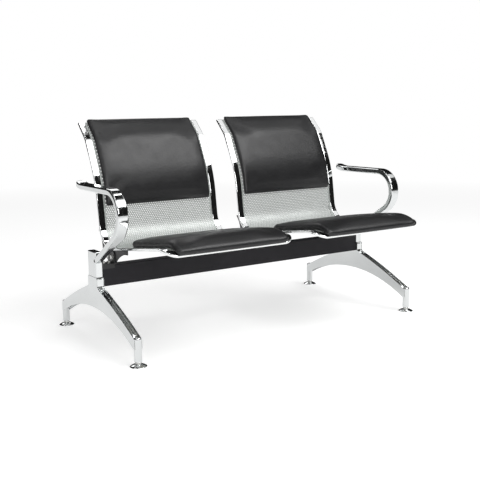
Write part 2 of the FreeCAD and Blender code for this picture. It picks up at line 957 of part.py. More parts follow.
def set_screws():
    # Headless screws from the outer faces, each bearing on the long bolt in its column
    solids = []
    for side in (-1, 1):
        y = column_mid()
        outside = side * (leg_x + leg_width / 2 - set_screw_sink)
        inside = side * (leg_x + m10 / 2)
        start = v(inside, y, set_screw_height)
        end = v(outside, y, set_screw_height)
        shape = rod(set_screw_diameter / 2, start, end)
        socket_floor = end - v(side * set_screw_socket_depth, 0, 0)
        shape = shape.cut(hexagon(set_screw_socket, socket_floor, end + v(side, 0, 0)))
        solids.append(shape)
    return Part.makeCompound(solids)


# Levelling glides

glide_top = glide_edge + glide_rise


def dome(radius):
    # Solid domed disc: upright edge, then one arc up to the collar
    collar = glide_collar / 2
    rim_low = v(radius, 0, 0)
    rim_high = v(radius, 0, glide_edge)
    top = v(collar, 0, glide_top)
    middle = v((radius + collar) / 2, 0, glide_edge + glide_bulge * glide_rise)
    outline = Part.Wire([
        line(v(0, 0, 0), rim_low),
        line(rim_low, rim_high),
        arc(rim_high, middle, top),
        line(top, v(0, 0, glide_top)),
        line(v(0, 0, glide_top), v(0, 0, 0)),
    ])
    return Part.Face(outline).revolve(v(0, 0, 0), up, 360)


def glide_disc():
    # A pressed shell, open below
    radius = glide_diameter / 2
    hollow = dome(radius - glide_sheet)
    hollow.translate(v(0, 0, -glide_sheet))
    mouth = rod(radius - glide_sheet, v(0, 0, -glide_sheet), v(0, 0, glide_edge - glide_sheet / 2))
    shape = dome(radius).cut(hollow).cut(mouth)
    return shape.cut(rod(stem_diameter / 2, v(0, 0, 0), v(0, 0, far)))


def glide_insert():
    # The tough plastic sole inside the shell, with a socket for the foot of the stem
    shrink = glide_sheet + insert_clearance
    solid = dome(glide_diameter / 2 - shrink)
    solid.translate(v(0, 0, -shrink))
    solid = solid.cut(box(-far, far, -far, far, -far, 0))
    return solid.cut(rod(stem_diameter / 2 + insert_clearance, v(0, 0, stem_foot), v(0, 0, far)))


def glide_stem():
    shank = rod(stem_diameter / 2, v(0, 0, stem_foot), v(0, 0, post_bottom + stem_length))
    tip = [edge for edge in shank.Edges if edge.BoundBox.ZMin > post_bottom]
    shank = shank.makeChamfer(stem_chamfer, tip)
    collar = rod(glide_collar / 2, v(0, 0, glide_top), v(0, 0, post_bottom - glide_collar_gap))
    return shank.fuse(collar).removeSplitter()


# Writing the pieces

os.makedirs("parts", exist_ok=True)


def save(name, shape, shift=None):
    moved = shape.copy()
    if shift is not None:
        moved.translate(shift)
    moved.translate(v(0, origin_shift, 0))
    moved.exportStep(os.path.join("parts", name + ".step"))
    solids = moved.Solids
    volume = sum(solid.Volume for solid in solids)
    print(name, "solids", len(solids), "valid", moved.isValid(), "volume", round(volume))


def save_pair(name, shape, x):
    # The same shape at the right-hand end and, mirrored, at the left-hand end
    right = shape.copy()
    right.translate(v(x, 0, 0))
    save("right_" + name, right)
    save("left_" + name, mirrored(right))


save("beam_tube", beam_tube())
save_pair("leg", leg(), 0)
save_pair("armrest", armrest(), 0)
save("column_bolts", column_bolts())
save("leg_tongue_screws", tongue_screws())
save("armrest_set_screws", set_screws())

web = cradle_web()
saddle_piece = saddle()
for where, web_x in (("inner", inner_web_x()), ("outer", outer_web_x())):
    save_pair("seat_cradle_" + where, web, web_x)
    save_pair("beam_saddle_" + where, saddle_piece, web_x)


def both_sides(solids, web_x):
    group = []
    for solid in solids:
        placed = solid.copy()
        placed.translate(v(web_x, 0, 0))
        group.append(placed)
        group.append(mirrored(placed))
    return group


long_bolts = both_sides(saddle_bolts(outer_bolt_tip), outer_web_x())
short_bolts = both_sides(saddle_bolts(inner_bolt_tip), inner_web_x())
save("outer_saddle_bolts", Part.makeCompound(long_bolts))
save("inner_saddle_bolts", Part.makeCompound(short_bolts))
save("beam_rivet_nuts", Part.makeCompound(both_sides(rivet_nuts(), inner_web_x())))
cradle_bolts = both_sides(ear_bolts(), inner_web_x()) + both_sides(ear_bolts(), outer_web_x())
cradle_nuts = both_sides(ear_nuts(), inner_web_x()) + both_sides(ear_nuts(), outer_web_x())
save("cradle_bolts", Part.makeCompound(cradle_bolts))
save("cradle_nuts", Part.makeCompound(cradle_nuts))

rim = rounded_rim()
sheet = seat_sheet()
seat_board = board(seat_board_begin(), seat_board_end())
back_board = board(back_board_begin(), back_board_end())
seat_pad = pad_over_board(
    seat_pad_begin(), seat_pad_end(), seat_pad_thickness, seat_pad_corner, seat_board_begin(), seat_board_end()
)
back_pad = pad_over_board(
    back_pad_begin(), back_pad_end(), back_pad_thickness, back_pad_corner, back_board_begin(), back_board_end()
)
screws = pad_screws()
for side, name in ((-1, "left"), (1, "right")):
    place = v(side * seat_x, 0, 0)
    save(name + "_seat_rim", rim, place)
    save(name + "_perforated_sheet", sheet, place)
    save(name + "_seat_board", seat_board, place)
    save(name + "_back_board", back_board, place)
    save(name + "_seat_pad", seat_pad, place)
    save(name + "_back_pad", back_pad, place)
    save(name + "_pad_screws", screws, place)

stem = glide_stem()
disc = glide_disc()
insert = glide_insert()
for side, end in ((-1, "left"), (1, "right")):
    for front, where in ((-1, "front"), (1, "rear")):
        foot = v(side * leg_x, front * foot_spread, 0)
        save("glide_stem_" + end + "_" + where, stem, foot)
        save("glide_disc_" + end + "_" + where, disc, foot)
        save("glide_insert_" + end + "_" + where, insert, foot)

print("origin shift", round(origin_shift, 3), "front face", round(front_face, 3))
print("profile top", profile.point(station_top, 0.0), "overall length", 2 * leg_x + band_width)
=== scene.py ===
import bpy
import bmesh
import json
import math
import numpy as np
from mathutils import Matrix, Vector
from mathutils.bvhtree import BVHTree


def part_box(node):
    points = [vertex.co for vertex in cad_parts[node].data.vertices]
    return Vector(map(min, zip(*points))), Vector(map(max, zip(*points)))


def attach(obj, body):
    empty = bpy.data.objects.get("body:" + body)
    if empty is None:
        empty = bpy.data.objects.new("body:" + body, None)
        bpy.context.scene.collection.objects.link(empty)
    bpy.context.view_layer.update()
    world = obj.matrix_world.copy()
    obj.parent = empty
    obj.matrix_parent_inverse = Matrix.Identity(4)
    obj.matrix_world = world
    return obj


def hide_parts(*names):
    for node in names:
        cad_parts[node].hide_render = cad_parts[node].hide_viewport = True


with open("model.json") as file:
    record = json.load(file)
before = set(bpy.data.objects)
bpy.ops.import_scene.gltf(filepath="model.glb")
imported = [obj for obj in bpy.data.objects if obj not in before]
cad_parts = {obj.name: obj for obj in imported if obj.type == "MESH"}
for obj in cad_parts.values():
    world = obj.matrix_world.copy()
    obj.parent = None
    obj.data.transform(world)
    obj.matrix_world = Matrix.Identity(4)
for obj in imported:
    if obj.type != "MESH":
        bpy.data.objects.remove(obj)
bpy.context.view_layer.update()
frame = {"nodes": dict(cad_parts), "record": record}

cadNodes = frame["nodes"]
sides = (("left", -1), ("right", 1))

# Where the bench stands in the frame: +X along the beam, sitters face -Y
beamLow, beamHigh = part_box("beam_tube")
beamY = (beamLow[1] + beamHigh[1]) / 2
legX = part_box("right_leg")[1][0] - 0.0135
seatX = (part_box("right_seat_rim")[0][0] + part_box("right_seat_rim")[1][0]) / 2


# Small mesh helpers

def addObject(name, mesh, material=None):
    obj = bpy.data.objects.new(name, mesh)
    bpy.context.scene.collection.objects.link(obj)
    if material:
        mesh.materials.clear()
        mesh.materials.append(material)
    return obj


def shadeSmooth(mesh):
    mesh.polygons.foreach_set("use_smooth", [True] * len(mesh.polygons))
    mesh.update()


def meshFromBmesh(name, work):
    bmesh.ops.recalc_face_normals(work, faces=work.faces)
    mesh = bpy.data.meshes.new(name)
    work.to_mesh(mesh)
    work.free()
    shadeSmooth(mesh)
    return mesh


def skinRings(work, rings, closed=True, capStart=True, capEnd=True):
    # Quads between rings that have the same number of points
    rows = [[work.verts.new(p) for p in ring] for ring in rings]
    count = len(rows[0])
    last = count if closed else count - 1
    for a, b in zip(rows, rows[1:]):
        for k in range(last):
            n = (k + 1) % count
            work.faces.new((a[k], a[n], b[n], b[k]))
    if capStart:
        work.faces.new(rows[0][::-1])
    if capEnd:
        work.faces.new(rows[-1])
    return rows


def roundedSection(width, height, radius, steps=5):
    # Points round a rectangle centred on zero
    points = []
    corners = ((1, 1, 0), (-1, 1, 90), (-1, -1, 180), (1, -1, 270))
    for sx, sy, start in corners:
        cx = sx * (width / 2 - radius)
        cy = sy * (height / 2 - radius)
        for k in range(steps + 1):
            turn = math.radians(start + 90 * k / steps)
            points.append((cx + radius * math.cos(turn), cy + radius * math.sin(turn)))
    return points


def flatNormals(obj):
    # Keeps wide faces flat in the shading beside their rounded edges
    weighted = obj.modifiers.new("weightedNormals", "WEIGHTED_NORMAL")
    weighted.weight = 80
    weighted.keep_sharp = True
    return obj


def lathe(work, outline, centre, turns=64):
    # Outline of (radius, height) points turned about an upright axis
    x, y, z = centre
    rows = []
    for k in range(turns):
        a = 2 * math.pi * k / turns
        rows.append([work.verts.new((x + r * math.cos(a), y + r * math.sin(a), z + h)) for r, h in outline])
    for a, b in zip(rows, rows[1:] + rows[:1]):
        for i in range(len(outline) - 1):
            work.faces.new((a[i], b[i], b[i + 1], a[i + 1]))
    bmesh.ops.remove_doubles(work, verts=work.verts, dist=0.00001)


def eased(share):
    # Goes from 0 to 1 with soft ends, and stays there beyond them
    share = min(max(share, 0.0), 1.0)
    return share * share * (3 - 2 * share)


def smoothCopy(name, node, material, angle=32.0):
    # A merged copy of a frame node whose rounded faces shade smoothly
    work = bmesh.new()
    work.from_mesh(cadNodes[node].data)
    bmesh.ops.remove_doubles(work, verts=work.verts, dist=0.000005)
    for edge in work.edges:
        if len(edge.link_faces) == 2:
            edge.smooth = edge.calc_face_angle(0.0) < math.radians(angle)
    mesh = bpy.data.meshes.new(name)
    work.to_mesh(mesh)
    work.free()
    shadeSmooth(mesh)
    obj = addObject(name, mesh, material)
    flatNormals(obj)
    return obj


# Side paths: straight runs and turns in a plane of constant X

class SidePath:
    def __init__(self, moves, start, heading):
        self.moves = moves
        self.start = start
        self.heading = heading
        self.length = sum(move[0] for move in moves)

    def at(self, station):
        y, z = self.start
        heading = self.heading
        left = station
        for length, radius, swing in self.moves:
            step = min(left, length)
            if radius:
                side = 1 if swing > 0 else -1
                cy = y - side * radius * math.sin(heading)
                cz = z + side * radius * math.cos(heading)
                heading += swing * step / length
                y = cy + side * radius * math.sin(heading)
                z = cz - side * radius * math.cos(heading)
            else:
                y += step * math.cos(heading)
                z += step * math.sin(heading)
            left -= step
            if left <= 0:
                break
        return y, z, heading

    def point(self, x, station, offset=0.0):
        y, z, heading = self.at(station)
        return Vector((x, y - offset * math.sin(heading), z + offset * math.cos(heading)))

    def stations(self, begin, end, turnStep=2.5, runStep=0.03):
        # Evenly spread inside each move, closer together where the path turns
        found = [begin]
        reached = 0.0
        for length, radius, swing in self.moves:
            a = max(begin, reached)
            b = min(end, reached + length)
            if b - a > 0.0001:
                step = radius * math.radians(turnStep) if radius else runStep
                count = max(1, math.ceil((b - a) / step))
                found += [a + (b - a) * k / count for k in range(1, count + 1)]
            reached += length
        return found


def run(length):
    return (length, 0.0, 0.0)


def turn(radius, degrees):
    return (radius * math.radians(abs(degrees)), radius, math.radians(degrees))


# Seat line: the front face of the rims, from the front edge to the top of the back
seatLine = {
    "frontLead": 0.012, "frontRadius": 0.100, "frontDrop": 36.0, "seatRise": 7.7, "seatRun": 0.349,
    "bendRadius": 0.082, "bendTurn": 90.0, "lumbarRun": 0.085, "backRadius": 0.430, "backTurn": 18.0,
    "shoulderRun": 0.082, "topRadius": 0.110, "topTurn": 20.0, "topRun": 0.065,
    "cornerY": 0.0629, "cornerZ": 0.3321, "padOverhang": 0.012,
}


def makeSeatPath(sizes):
    front = [
        run(sizes["frontLead"]),
        turn(sizes["frontRadius"], -(sizes["frontDrop"] + sizes["seatRise"])),
        run(sizes["seatRun"]),
    ]
    back = [
        turn(sizes["bendRadius"], sizes["bendTurn"]),
        run(sizes["lumbarRun"]),
        turn(sizes["backRadius"], -sizes["backTurn"]),
        run(sizes["shoulderRun"]),
        turn(sizes["topRadius"], -sizes["topTurn"]),
        run(sizes["topRun"] + sizes["padOverhang"]),
    ]
    trial = SidePath(front, (0.0, 0.0), math.radians(sizes["frontDrop"]))
    endY, endZ, heading = trial.at(trial.length)
    tangent = sizes["bendRadius"] * math.tan(math.radians(sizes["bendTurn"] / 2))
    y = beamY + sizes["cornerY"] - tangent * math.cos(heading) - endY
    z = sizes["cornerZ"] - tangent * math.sin(heading) - endZ
    path = SidePath(front + back, (y, z), math.radians(sizes["frontDrop"]))
    return path, trial.length


seatPath, bendStart = makeSeatPath(seatLine)
bendEnd = bendStart + turn(seatLine["bendRadius"], seatLine["bendTurn"])[0]
railEnd = seatPath.length - seatLine["padOverhang"]
frontY = seatPath.at(seatLine["frontLead"])[0]


def stationAtY(y):
    # Only for the seat, where the path always runs to the rear
    low, high = 0.0, bendStart
    for _ in range(40):
        middle = (low + high) / 2
        if seatPath.at(middle)[0] < y:
            low = middle
        else:
            high = middle
    return low


# Materials

def newMaterial(name, color, roughness, metallic=0.0):
    material = bpy.data.materials.new(name)
    material.use_nodes = True
    tree = material.node_tree
    shader = tree.nodes["Principled BSDF"]
    shader.inputs["Base Color"].default_value = (*color, 1.0)
    shader.inputs["Roughness"].default_value = roughness
    shader.inputs["Metallic"].default_value = metallic
    return material, tree, shader


def place(tree, kind, inputs=None, **settings):
    # A node with its settings, and with inputs given as values or as sockets to join
    node = tree.nodes.new(kind)
    for key, value in settings.items():
        setattr(node, key, value)
    for key, value in (inputs or {}).items():
        if isinstance(value, bpy.types.NodeSocket):
            tree.links.new(value, node.inputs[key])
        else:
            node.inputs[key].default_value = value
    return node


def noiseOf(tree, scale, detail=2.0, roughness=0.5, stretch=None):
    # Noise in the object's own coordinates, so it stays with the piece
    source = place(tree, "ShaderNodeTexCoord").outputs["Object"]
    if stretch:
        source = place(tree, "ShaderNodeMapping", {"Vector": source, "Scale": stretch}).outputs["Vector"]
    inputs = {"Vector": source, "Scale": scale, "Detail": detail, "Roughness": roughness}
    return place(tree, "ShaderNodeTexNoise", inputs).outputs["Fac"]


def glossed(tree, shader, source, low, high):
    # Roughness that follows a noise
    inputs = {"Value": source, "From Min": 0.3, "From Max": 0.7, "To Min": low, "To Max": high}
    mapped = place(tree, "ShaderNodeMapRange", inputs)
    tree.links.new(mapped.outputs["Result"], shader.inputs["Roughness"])


def tinted(tree, shader, source, dark, light):
    # Colour that follows a noise
    ramp = place(tree, "ShaderNodeValToRGB")
    for element, position, color in zip(ramp.color_ramp.elements, (0.3, 0.7), (dark, light)):
        element.position = position
        element.color = (*color, 1.0)
    tree.links.new(source, ramp.inputs["Fac"])
    tree.links.new(ramp.outputs["Color"], shader.inputs["Base Color"])


def bumped(tree, shader, source, distance, strength=1.0, previous=None):
    bump = place(tree, "ShaderNodeBump", {"Height": source, "Distance": distance, "Strength": strength})
    if previous:
        tree.links.new(previous, bump.inputs["Normal"])
    tree.links.new(bump.outputs["Normal"], shader.inputs["Normal"])
    return bump.outputs["Normal"]


def makeChrome(name, color, low, high, wave, waveScale):
    # Bright plating: polishing haze in the roughness, a slow wave under it
    material, tree, shader = newMaterial(name, color, low, 1.0)
    glossed(tree, shader, noiseOf(tree, 55.0, 4.0, 0.6), low, high)
    tinted(tree, shader, noiseOf(tree, 9.0), tuple(c * 0.95 for c in color), color)
    bumped(tree, shader, noiseOf(tree, waveScale, 1.0), wave)
    return material


def makePaint(name, dark, light, roughness, peel, peelScale, specular=0.5):
    # Powder coat: orange peel and a little unevenness in its gloss
    material, tree, shader = newMaterial(name, dark, roughness)
    shader.inputs["Specular IOR Level"].default_value = specular
    tinted(tree, shader, noiseOf(tree, 6.0, 3.0), dark, light)
    glossed(tree, shader, noiseOf(tree, 38.0, 3.0), roughness - 0.06, roughness + 0.06)
    bumped(tree, shader, noiseOf(tree, peelScale), peel)
    return material


def makeLeather(name):
    # Charcoal imitation leather: pebbled grain, fine creases, uneven dye
    material, tree, shader = newMaterial(name, (0.03, 0.03, 0.032), 0.45)
    coords = place(tree, "ShaderNodeTexCoord").outputs["Object"]
    warp = place(tree, "ShaderNodeTexNoise", {"Vector": coords, "Scale": 140.0, "Detail": 2.0})
    shifted = {0: warp.outputs["Color"], 1: (0.0016, 0.0016, 0.0016), 2: coords}
    push = place(tree, "ShaderNodeVectorMath", shifted, operation="MULTIPLY_ADD")
    cells = {"Vector": push.outputs["Vector"], "Scale": 620.0}
    grain = place(tree, "ShaderNodeTexVoronoi", cells, feature="DISTANCE_TO_EDGE")
    pebble = place(tree, "ShaderNodeMapRange", {
        "Value": grain.outputs["Distance"], "From Min": 0.0, "From Max": 0.32,
    })
    dye = noiseOf(tree, 7.0, 4.0, 0.6)
    tinted(tree, shader, dye, (0.0098, 0.0098, 0.0105), (0.0148, 0.0148, 0.0157))
    glossed(tree, shader, noiseOf(tree, 24.0, 3.0), 0.32, 0.40)
    shader.inputs["Specular IOR Level"].default_value = 0.42
    shader.inputs["Sheen Weight"].default_value = 0.03
    shader.inputs["Sheen Roughness"].default_value = 0.4
    first = bumped(tree, shader, pebble.outputs["Result"], 0.00010, 0.55)
    bumped(tree, shader, noiseOf(tree, 60.0, 3.0), 0.0006, 0.35, first)
    return material


def makeSheetFinish(name):
    # Silver grey coat with a faint metallic fleck
    material, tree, shader = newMaterial(name, (0.6, 0.62, 0.6), 0.38, 0.25)
    tinted(tree, shader, noiseOf(tree, 1500.0), (0.40, 0.425, 0.408), (0.50, 0.525, 0.508))
    glossed(tree, shader, noiseOf(tree, 30.0), 0.34, 0.44)
    bumped(tree, shader, noiseOf(tree, 900.0, 1.0), 0.00002)
    return material


def makePlated(name):
    # Zinc plated fasteners: dull bright metal with small handling marks
    material, tree, shader = newMaterial(name, (0.62, 0.62, 0.60), 0.3, 1.0)
    marks = noiseOf(tree, 420.0, 4.0, 0.7)
    tinted(tree, shader, marks, (0.50, 0.50, 0.48), (0.70, 0.70, 0.68))
    glossed(tree, shader, marks, 0.24, 0.42)
    bumped(tree, shader, marks, 0.00004)
    return material


def makePlastic(name):
    material, tree, shader = newMaterial(name, (0.018, 0.018, 0.019), 0.55)
    grain = noiseOf(tree, 700.0)
    tinted(tree, shader, grain, (0.015, 0.015, 0.016), (0.022, 0.022, 0.023))
    bumped(tree, shader, grain, 0.00006)
    return material


def makePlywood(name):
    # Long grain along the seat, with darker pores
    material, tree, shader = newMaterial(name, (0.55, 0.40, 0.25), 0.6)
    grain = noiseOf(tree, 30.0, 6.0, 0.65, (14.0, 1.0, 1.0))
    tinted(tree, shader, grain, (0.42, 0.29, 0.17), (0.63, 0.48, 0.31))
    bumped(tree, shader, grain, 0.0002, 0.5)
    return material


paints = {
    "beam": ((0.0115, 0.0105, 0.0135), (0.016, 0.015, 0.0185), 0.40, 0.00006, 520.0, 0.22),
    "bracket": ((0.010, 0.010, 0.011), (0.016, 0.016, 0.017), 0.38, 0.00006, 600.0),
}
finishes = {
    "chromed_rim": makeChrome("rimChrome", (0.86, 0.87, 0.87), 0.03, 0.08, 0.00012, 22.0),
    "chromed_casting": makeChrome("castChrome", (0.66, 0.675, 0.675), 0.06, 0.13, 0.00020, 30.0),
    "glide_chrome": makeChrome("glideChrome", (0.84, 0.85, 0.85), 0.05, 0.10, 0.00010, 40.0),
    "beam_paint": makePaint("beamPaint", *paints["beam"]),
    "black_bracket": makePaint("bracketPaint", *paints["bracket"]),
    "sheet_finish": makeSheetFinish("sheetFinish"),
    "plated_steel": makePlated("platedSteel"),
    "plywood": makePlywood("padPlywood"),
    "upholstery": makeLeather("padLeather"),
    "glide_sole": makePlastic("solePlastic"),
}

slotOf = {}
for entry in frame["record"]["subparts"]:
    slotOf[entry["node"]] = entry["material_slot"]
for node, obj in cadNodes.items():
    obj.data.materials.clear()
    obj.data.materials.append(finishes[slotOf[node]])
print("finishes on", len(cadNodes), "nodes")


def standFor(obj, node, body="frame"):
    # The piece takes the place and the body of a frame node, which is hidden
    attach(obj, body)
    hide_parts(node)


def casting(name, work, finish):
    return flatNormals(addObject(name, meshFromBmesh(name, work), finishes[finish]))


# Seat rims

rim = {
    "width": 0.025, "thickness": 0.010, "edge": 0.003, "corner": 0.045, "half": 0.250, "tipRound": 0.003,
    "cornerSteps": 20, "frontSteps": 24, "leastRound": 0.0004,
}


def rimStep(kind, sign, value, side):
    # One step round the rim: gives x and station at a distance from the corner's centre
    flat = rim["half"] - rim["corner"]

    def locate(reach):
        if kind == "side":
            return side * seatX + sign * (flat + reach), value
        if kind == "corner":
            x = sign * (flat + reach * math.cos(value))
            y = frontY + rim["corner"] - reach * math.sin(value)
            return side * seatX + x, stationAtY(y)
        return side * seatX + value, stationAtY(frontY + rim["corner"] - reach)
    return locate


def buildRim(name, side):
    joint = stationAtY(frontY + rim["corner"])
    flat = rim["half"] - rim["corner"]
    up = seatPath.stations(joint, railEnd - rim["tipRound"], 2.0, 0.02)
    arc = [math.radians(90 * k / rim["cornerSteps"]) for k in range(1, rim["cornerSteps"])]
    across = [-flat + 2 * flat * k / rim["frontSteps"] for k in range(rim["frontSteps"] + 1)]
    steps = [rimStep("side", -1, s, side) for s in reversed(up)]
    steps += [rimStep("corner", -1, a, side) for a in arc]
    steps += [rimStep("front", 0, x, side) for x in across]
    steps += [rimStep("corner", 1, a, side) for a in reversed(arc)]
    steps += [rimStep("side", 1, s, side) for s in up]

    def ring(locate, inset=0.0):
        radius = max(rim["edge"] - inset, rim["leastRound"])
        section = roundedSection(rim["width"] - 2 * inset, rim["thickness"] - 2 * inset, radius)
        points = []
        for a, b in section:
            x, station = locate(rim["corner"] - rim["width"] / 2 + a)
            points.append(seatPath.point(x, station, b - rim["thickness"] / 2))
        return points

    rings = [ring(step) for step in steps]
    for sign, atStart in ((-1, True), (1, False)):
        for k in (1, 2, 3, 4):
            swing = math.radians(22.5 * k)
            inset = rim["tipRound"] * (1 - math.cos(swing))
            station = railEnd - rim["tipRound"] * (1 - math.sin(swing))
            tip = ring(rimStep("side", sign, station, side), inset)
            if atStart:
                rings.insert(0, tip)
            else:
                rings.append(tip)
    work = bmesh.new()
    skinRings(work, rings)
    return casting(name, work, "chromed_rim")


for word, side in sides:
    standFor(buildRim(word + "_rim", side), word + "_seat_rim")
print("rims")


# Perforated sheets: a honeycomb of holes laid along the seat line

sheet = {
    "width": 0.4506, "pitch": 0.0078, "hole": 0.0042, "border": 0.006,
    "thickness": 0.0015, "recess": 0.003, "seam": bendStart - 0.100, "frontFit": 0.0005,
}


def mathNode(tree, operation, a, b=None):
    inputs = {0: a} if b is None else {0: a, 1: b}
    return place(tree, "ShaderNodeMath", inputs, operation=operation).outputs[0]


def joinedAnd(tree, a, b):
    return place(tree, "FunctionNodeBooleanMath", {0: a, 1: b}, operation="AND").outputs[0]


def lessThan(tree, a, b):
    node = place(tree, "FunctionNodeCompare", {"A": a, "B": b}, data_type="FLOAT", operation="LESS_THAN")
    return node.outputs["Result"]


def newGeometryTree(name, inputs):
    tree = bpy.data.node_groups.new(name, "GeometryNodeTree")
    tree.interface.new_socket(name="Geometry", in_out="INPUT", socket_type="NodeSocketGeometry")
    for label, kind in inputs:
        tree.interface.new_socket(name=label, in_out="INPUT", socket_type="NodeSocket" + kind)
    tree.interface.new_socket(name="Geometry", in_out="OUTPUT", socket_type="NodeSocketGeometry")
    source = place(tree, "NodeGroupInput")
    result = place(tree, "NodeGroupOutput")
    return tree, source.outputs, result.inputs["Geometry"]


def finishTree(tree, geometry, material, result):
    realized = place(tree, "GeometryNodeRealizeInstances", {"Geometry": geometry}).outputs["Geometry"]
    painted = place(tree, "GeometryNodeSetMaterial", {"Geometry": realized, "Material": material})
    tree.links.new(painted.outputs["Geometry"], result)


def makePerforationTree():
    inputs = [(label, "Float") for label in ("Width", "Pitch", "Hole", "Border")]
    tree, given, result = newGeometryTree("perforatedSheet", inputs + [("Finish", "Material")])

    def calc(operation, a, b=None):
        return mathNode(tree, operation, a, b)

    # The line's length gives the rows, and the width gives the columns
    curve = place(tree, "GeometryNodeMeshToCurve", {"Mesh": given["Geometry"]}).outputs["Curve"]
    length = place(tree, "GeometryNodeCurveLength", {"Curve": curve}).outputs["Length"]
    rowPitch = calc("MULTIPLY", given["Pitch"], math.sqrt(3) / 2)
    columns = calc("ROUND", calc("DIVIDE", given["Width"], given["Pitch"]))
    rows = calc("ROUND", calc("DIVIDE", length, rowPitch))
    grid = place(tree, "GeometryNodeMeshGrid", {
        "Size X": given["Width"], "Vertices X": calc("ADD", columns, 1),
        "Size Y": length, "Vertices Y": calc("ADD", rows, 1),
    })
    position = place(tree, "GeometryNodeInputPosition").outputs["Position"]
    apart = place(tree, "ShaderNodeSeparateXYZ", {"Vector": position}).outputs
    halfLength = calc("MULTIPLY", length, 0.5)
    halfWidth = calc("MULTIPLY", given["Width"], 0.5)
    along = calc("ADD", apart["Y"], halfLength)

    # Every second row stands half a column aside
    rowNumber = calc("ROUND", calc("DIVIDE", along, calc("DIVIDE", length, rows)))
    odd = calc("SUBTRACT", calc("FLOORED_MODULO", rowNumber, 2.0), 0.5)
    columnStep = calc("DIVIDE", given["Width"], columns)
    aside = calc("MULTIPLY", calc("MULTIPLY", odd, columnStep), 0.5)
    off = calc("ABSOLUTE", apart["X"])
    stagger = place(tree, "GeometryNodeSetPosition", {
        "Geometry": grid.outputs["Mesh"],
        "Selection": lessThan(tree, off, calc("SUBTRACT", halfWidth, calc("MULTIPLY", columnStep, 0.5))),
        "Offset": place(tree, "ShaderNodeCombineXYZ", {"X": aside}).outputs["Vector"],
    }).outputs["Geometry"]
    triangles = place(tree, "GeometryNodeTriangulate", {"Mesh": stagger}, quad_method="SHORTEST_DIAGONAL")
    cells = place(tree, "GeometryNodeDualMesh", {"Mesh": triangles.outputs["Mesh"], "Keep Boundaries": True})

    # Inside the border each cell is split off, shrunk to its hole and deleted
    sideOk = lessThan(tree, off, calc("SUBTRACT", halfWidth, given["Border"]))
    endOk = lessThan(tree, calc("ABSOLUTE", apart["Y"]), calc("SUBTRACT", halfLength, given["Border"]))
    pushed = place(tree, "GeometryNodeExtrudeMesh", {
        "Mesh": cells.outputs["Dual Mesh"], "Selection": joinedAnd(tree, sideOk, endOk),
        "Individual": True, "Offset Scale": 0.0,
    }, mode="FACES")
    shrunk = place(tree, "GeometryNodeScaleElements", {
        "Geometry": pushed.outputs["Mesh"], "Selection": pushed.outputs["Top"],
        "Scale": calc("DIVIDE", given["Hole"], given["Pitch"]),
    }, domain="FACE")
    holed = place(tree, "GeometryNodeDeleteGeometry", {
        "Geometry": shrunk.outputs["Geometry"], "Selection": pushed.outputs["Top"],
    }, domain="FACE")

    # The flat sheet is laid along the line
    reach = {"Curves": curve, "Length": along}
    sample = place(tree, "GeometryNodeSampleCurve", reach, mode="LENGTH", use_all_curves=True)
    onLine = place(tree, "ShaderNodeSeparateXYZ", {"Vector": sample.outputs["Position"]}).outputs
    laid = place(tree, "ShaderNodeCombineXYZ", {
        "X": calc("ADD", apart["X"], onLine["X"]), "Y": onLine["Y"], "Z": onLine["Z"],
    })
    bent = place(tree, "GeometryNodeSetPosition", {
        "Geometry": holed.outputs["Geometry"], "Position": laid.outputs["Vector"],
    })
    finishTree(tree, bent.outputs["Geometry"], given["Finish"], result)
    return tree


def giveTree(obj, tree, values):
    modifier = obj.modifiers.new(tree.name, "NODES")
    modifier.node_group = tree
    for item in tree.interface.items_tree:
        if item.item_type == "SOCKET" and item.in_out == "INPUT" and item.name in values:
            modifier[item.identifier] = values[item.name]
    return modifier


def bakeDown(obj, name, material):
    # Turns what the modifiers make into a plain mesh
    graph = bpy.context.evaluated_depsgraph_get()
    graph.update()
    mesh = bpy.data.meshes.new_from_object(obj.evaluated_get(graph))
    mesh.name = name
    bpy.data.objects.remove(obj)
    return addObject(name, mesh, material)


perforationTree = makePerforationTree()


def buildSheet(name, side, begin, end):
    middle = -sheet["recess"] - sheet["thickness"] / 2
    line = bpy.data.meshes.new(name + "Line")
    stations = seatPath.stations(begin, end, 2.0, 0.02)
    points = [seatPath.point(side * seatX, s, middle) for s in stations]
    line.from_pydata(points, [(k, k + 1) for k in range(len(points) - 1)], [])
    obj = addObject(name, line)
    giveTree(obj, perforationTree, {
        "Width": sheet["width"], "Pitch": sheet["pitch"], "Hole": sheet["hole"],
        "Border": sheet["border"], "Finish": finishes["sheet_finish"],
    })
    wall = obj.modifiers.new("wall", "SOLIDIFY")
    wall.thickness = sheet["thickness"]
    wall.offset = 0.0
    obj = bakeDown(obj, name, finishes["sheet_finish"])
    print(name, "faces", len(obj.data.polygons))
    return obj


sheetBegin = stationAtY(frontY + rim["width"]) - sheet["frontFit"]
for word, side in sides:
    for part, begin, end in (("seat", sheetBegin, sheet["seam"]), ("back", sheet["seam"], railEnd)):
        standFor(buildSheet(word + "_" + part + "_sheet", side, begin, end), word + "_perforated_sheet")
print("perforated sheets")


# Pads

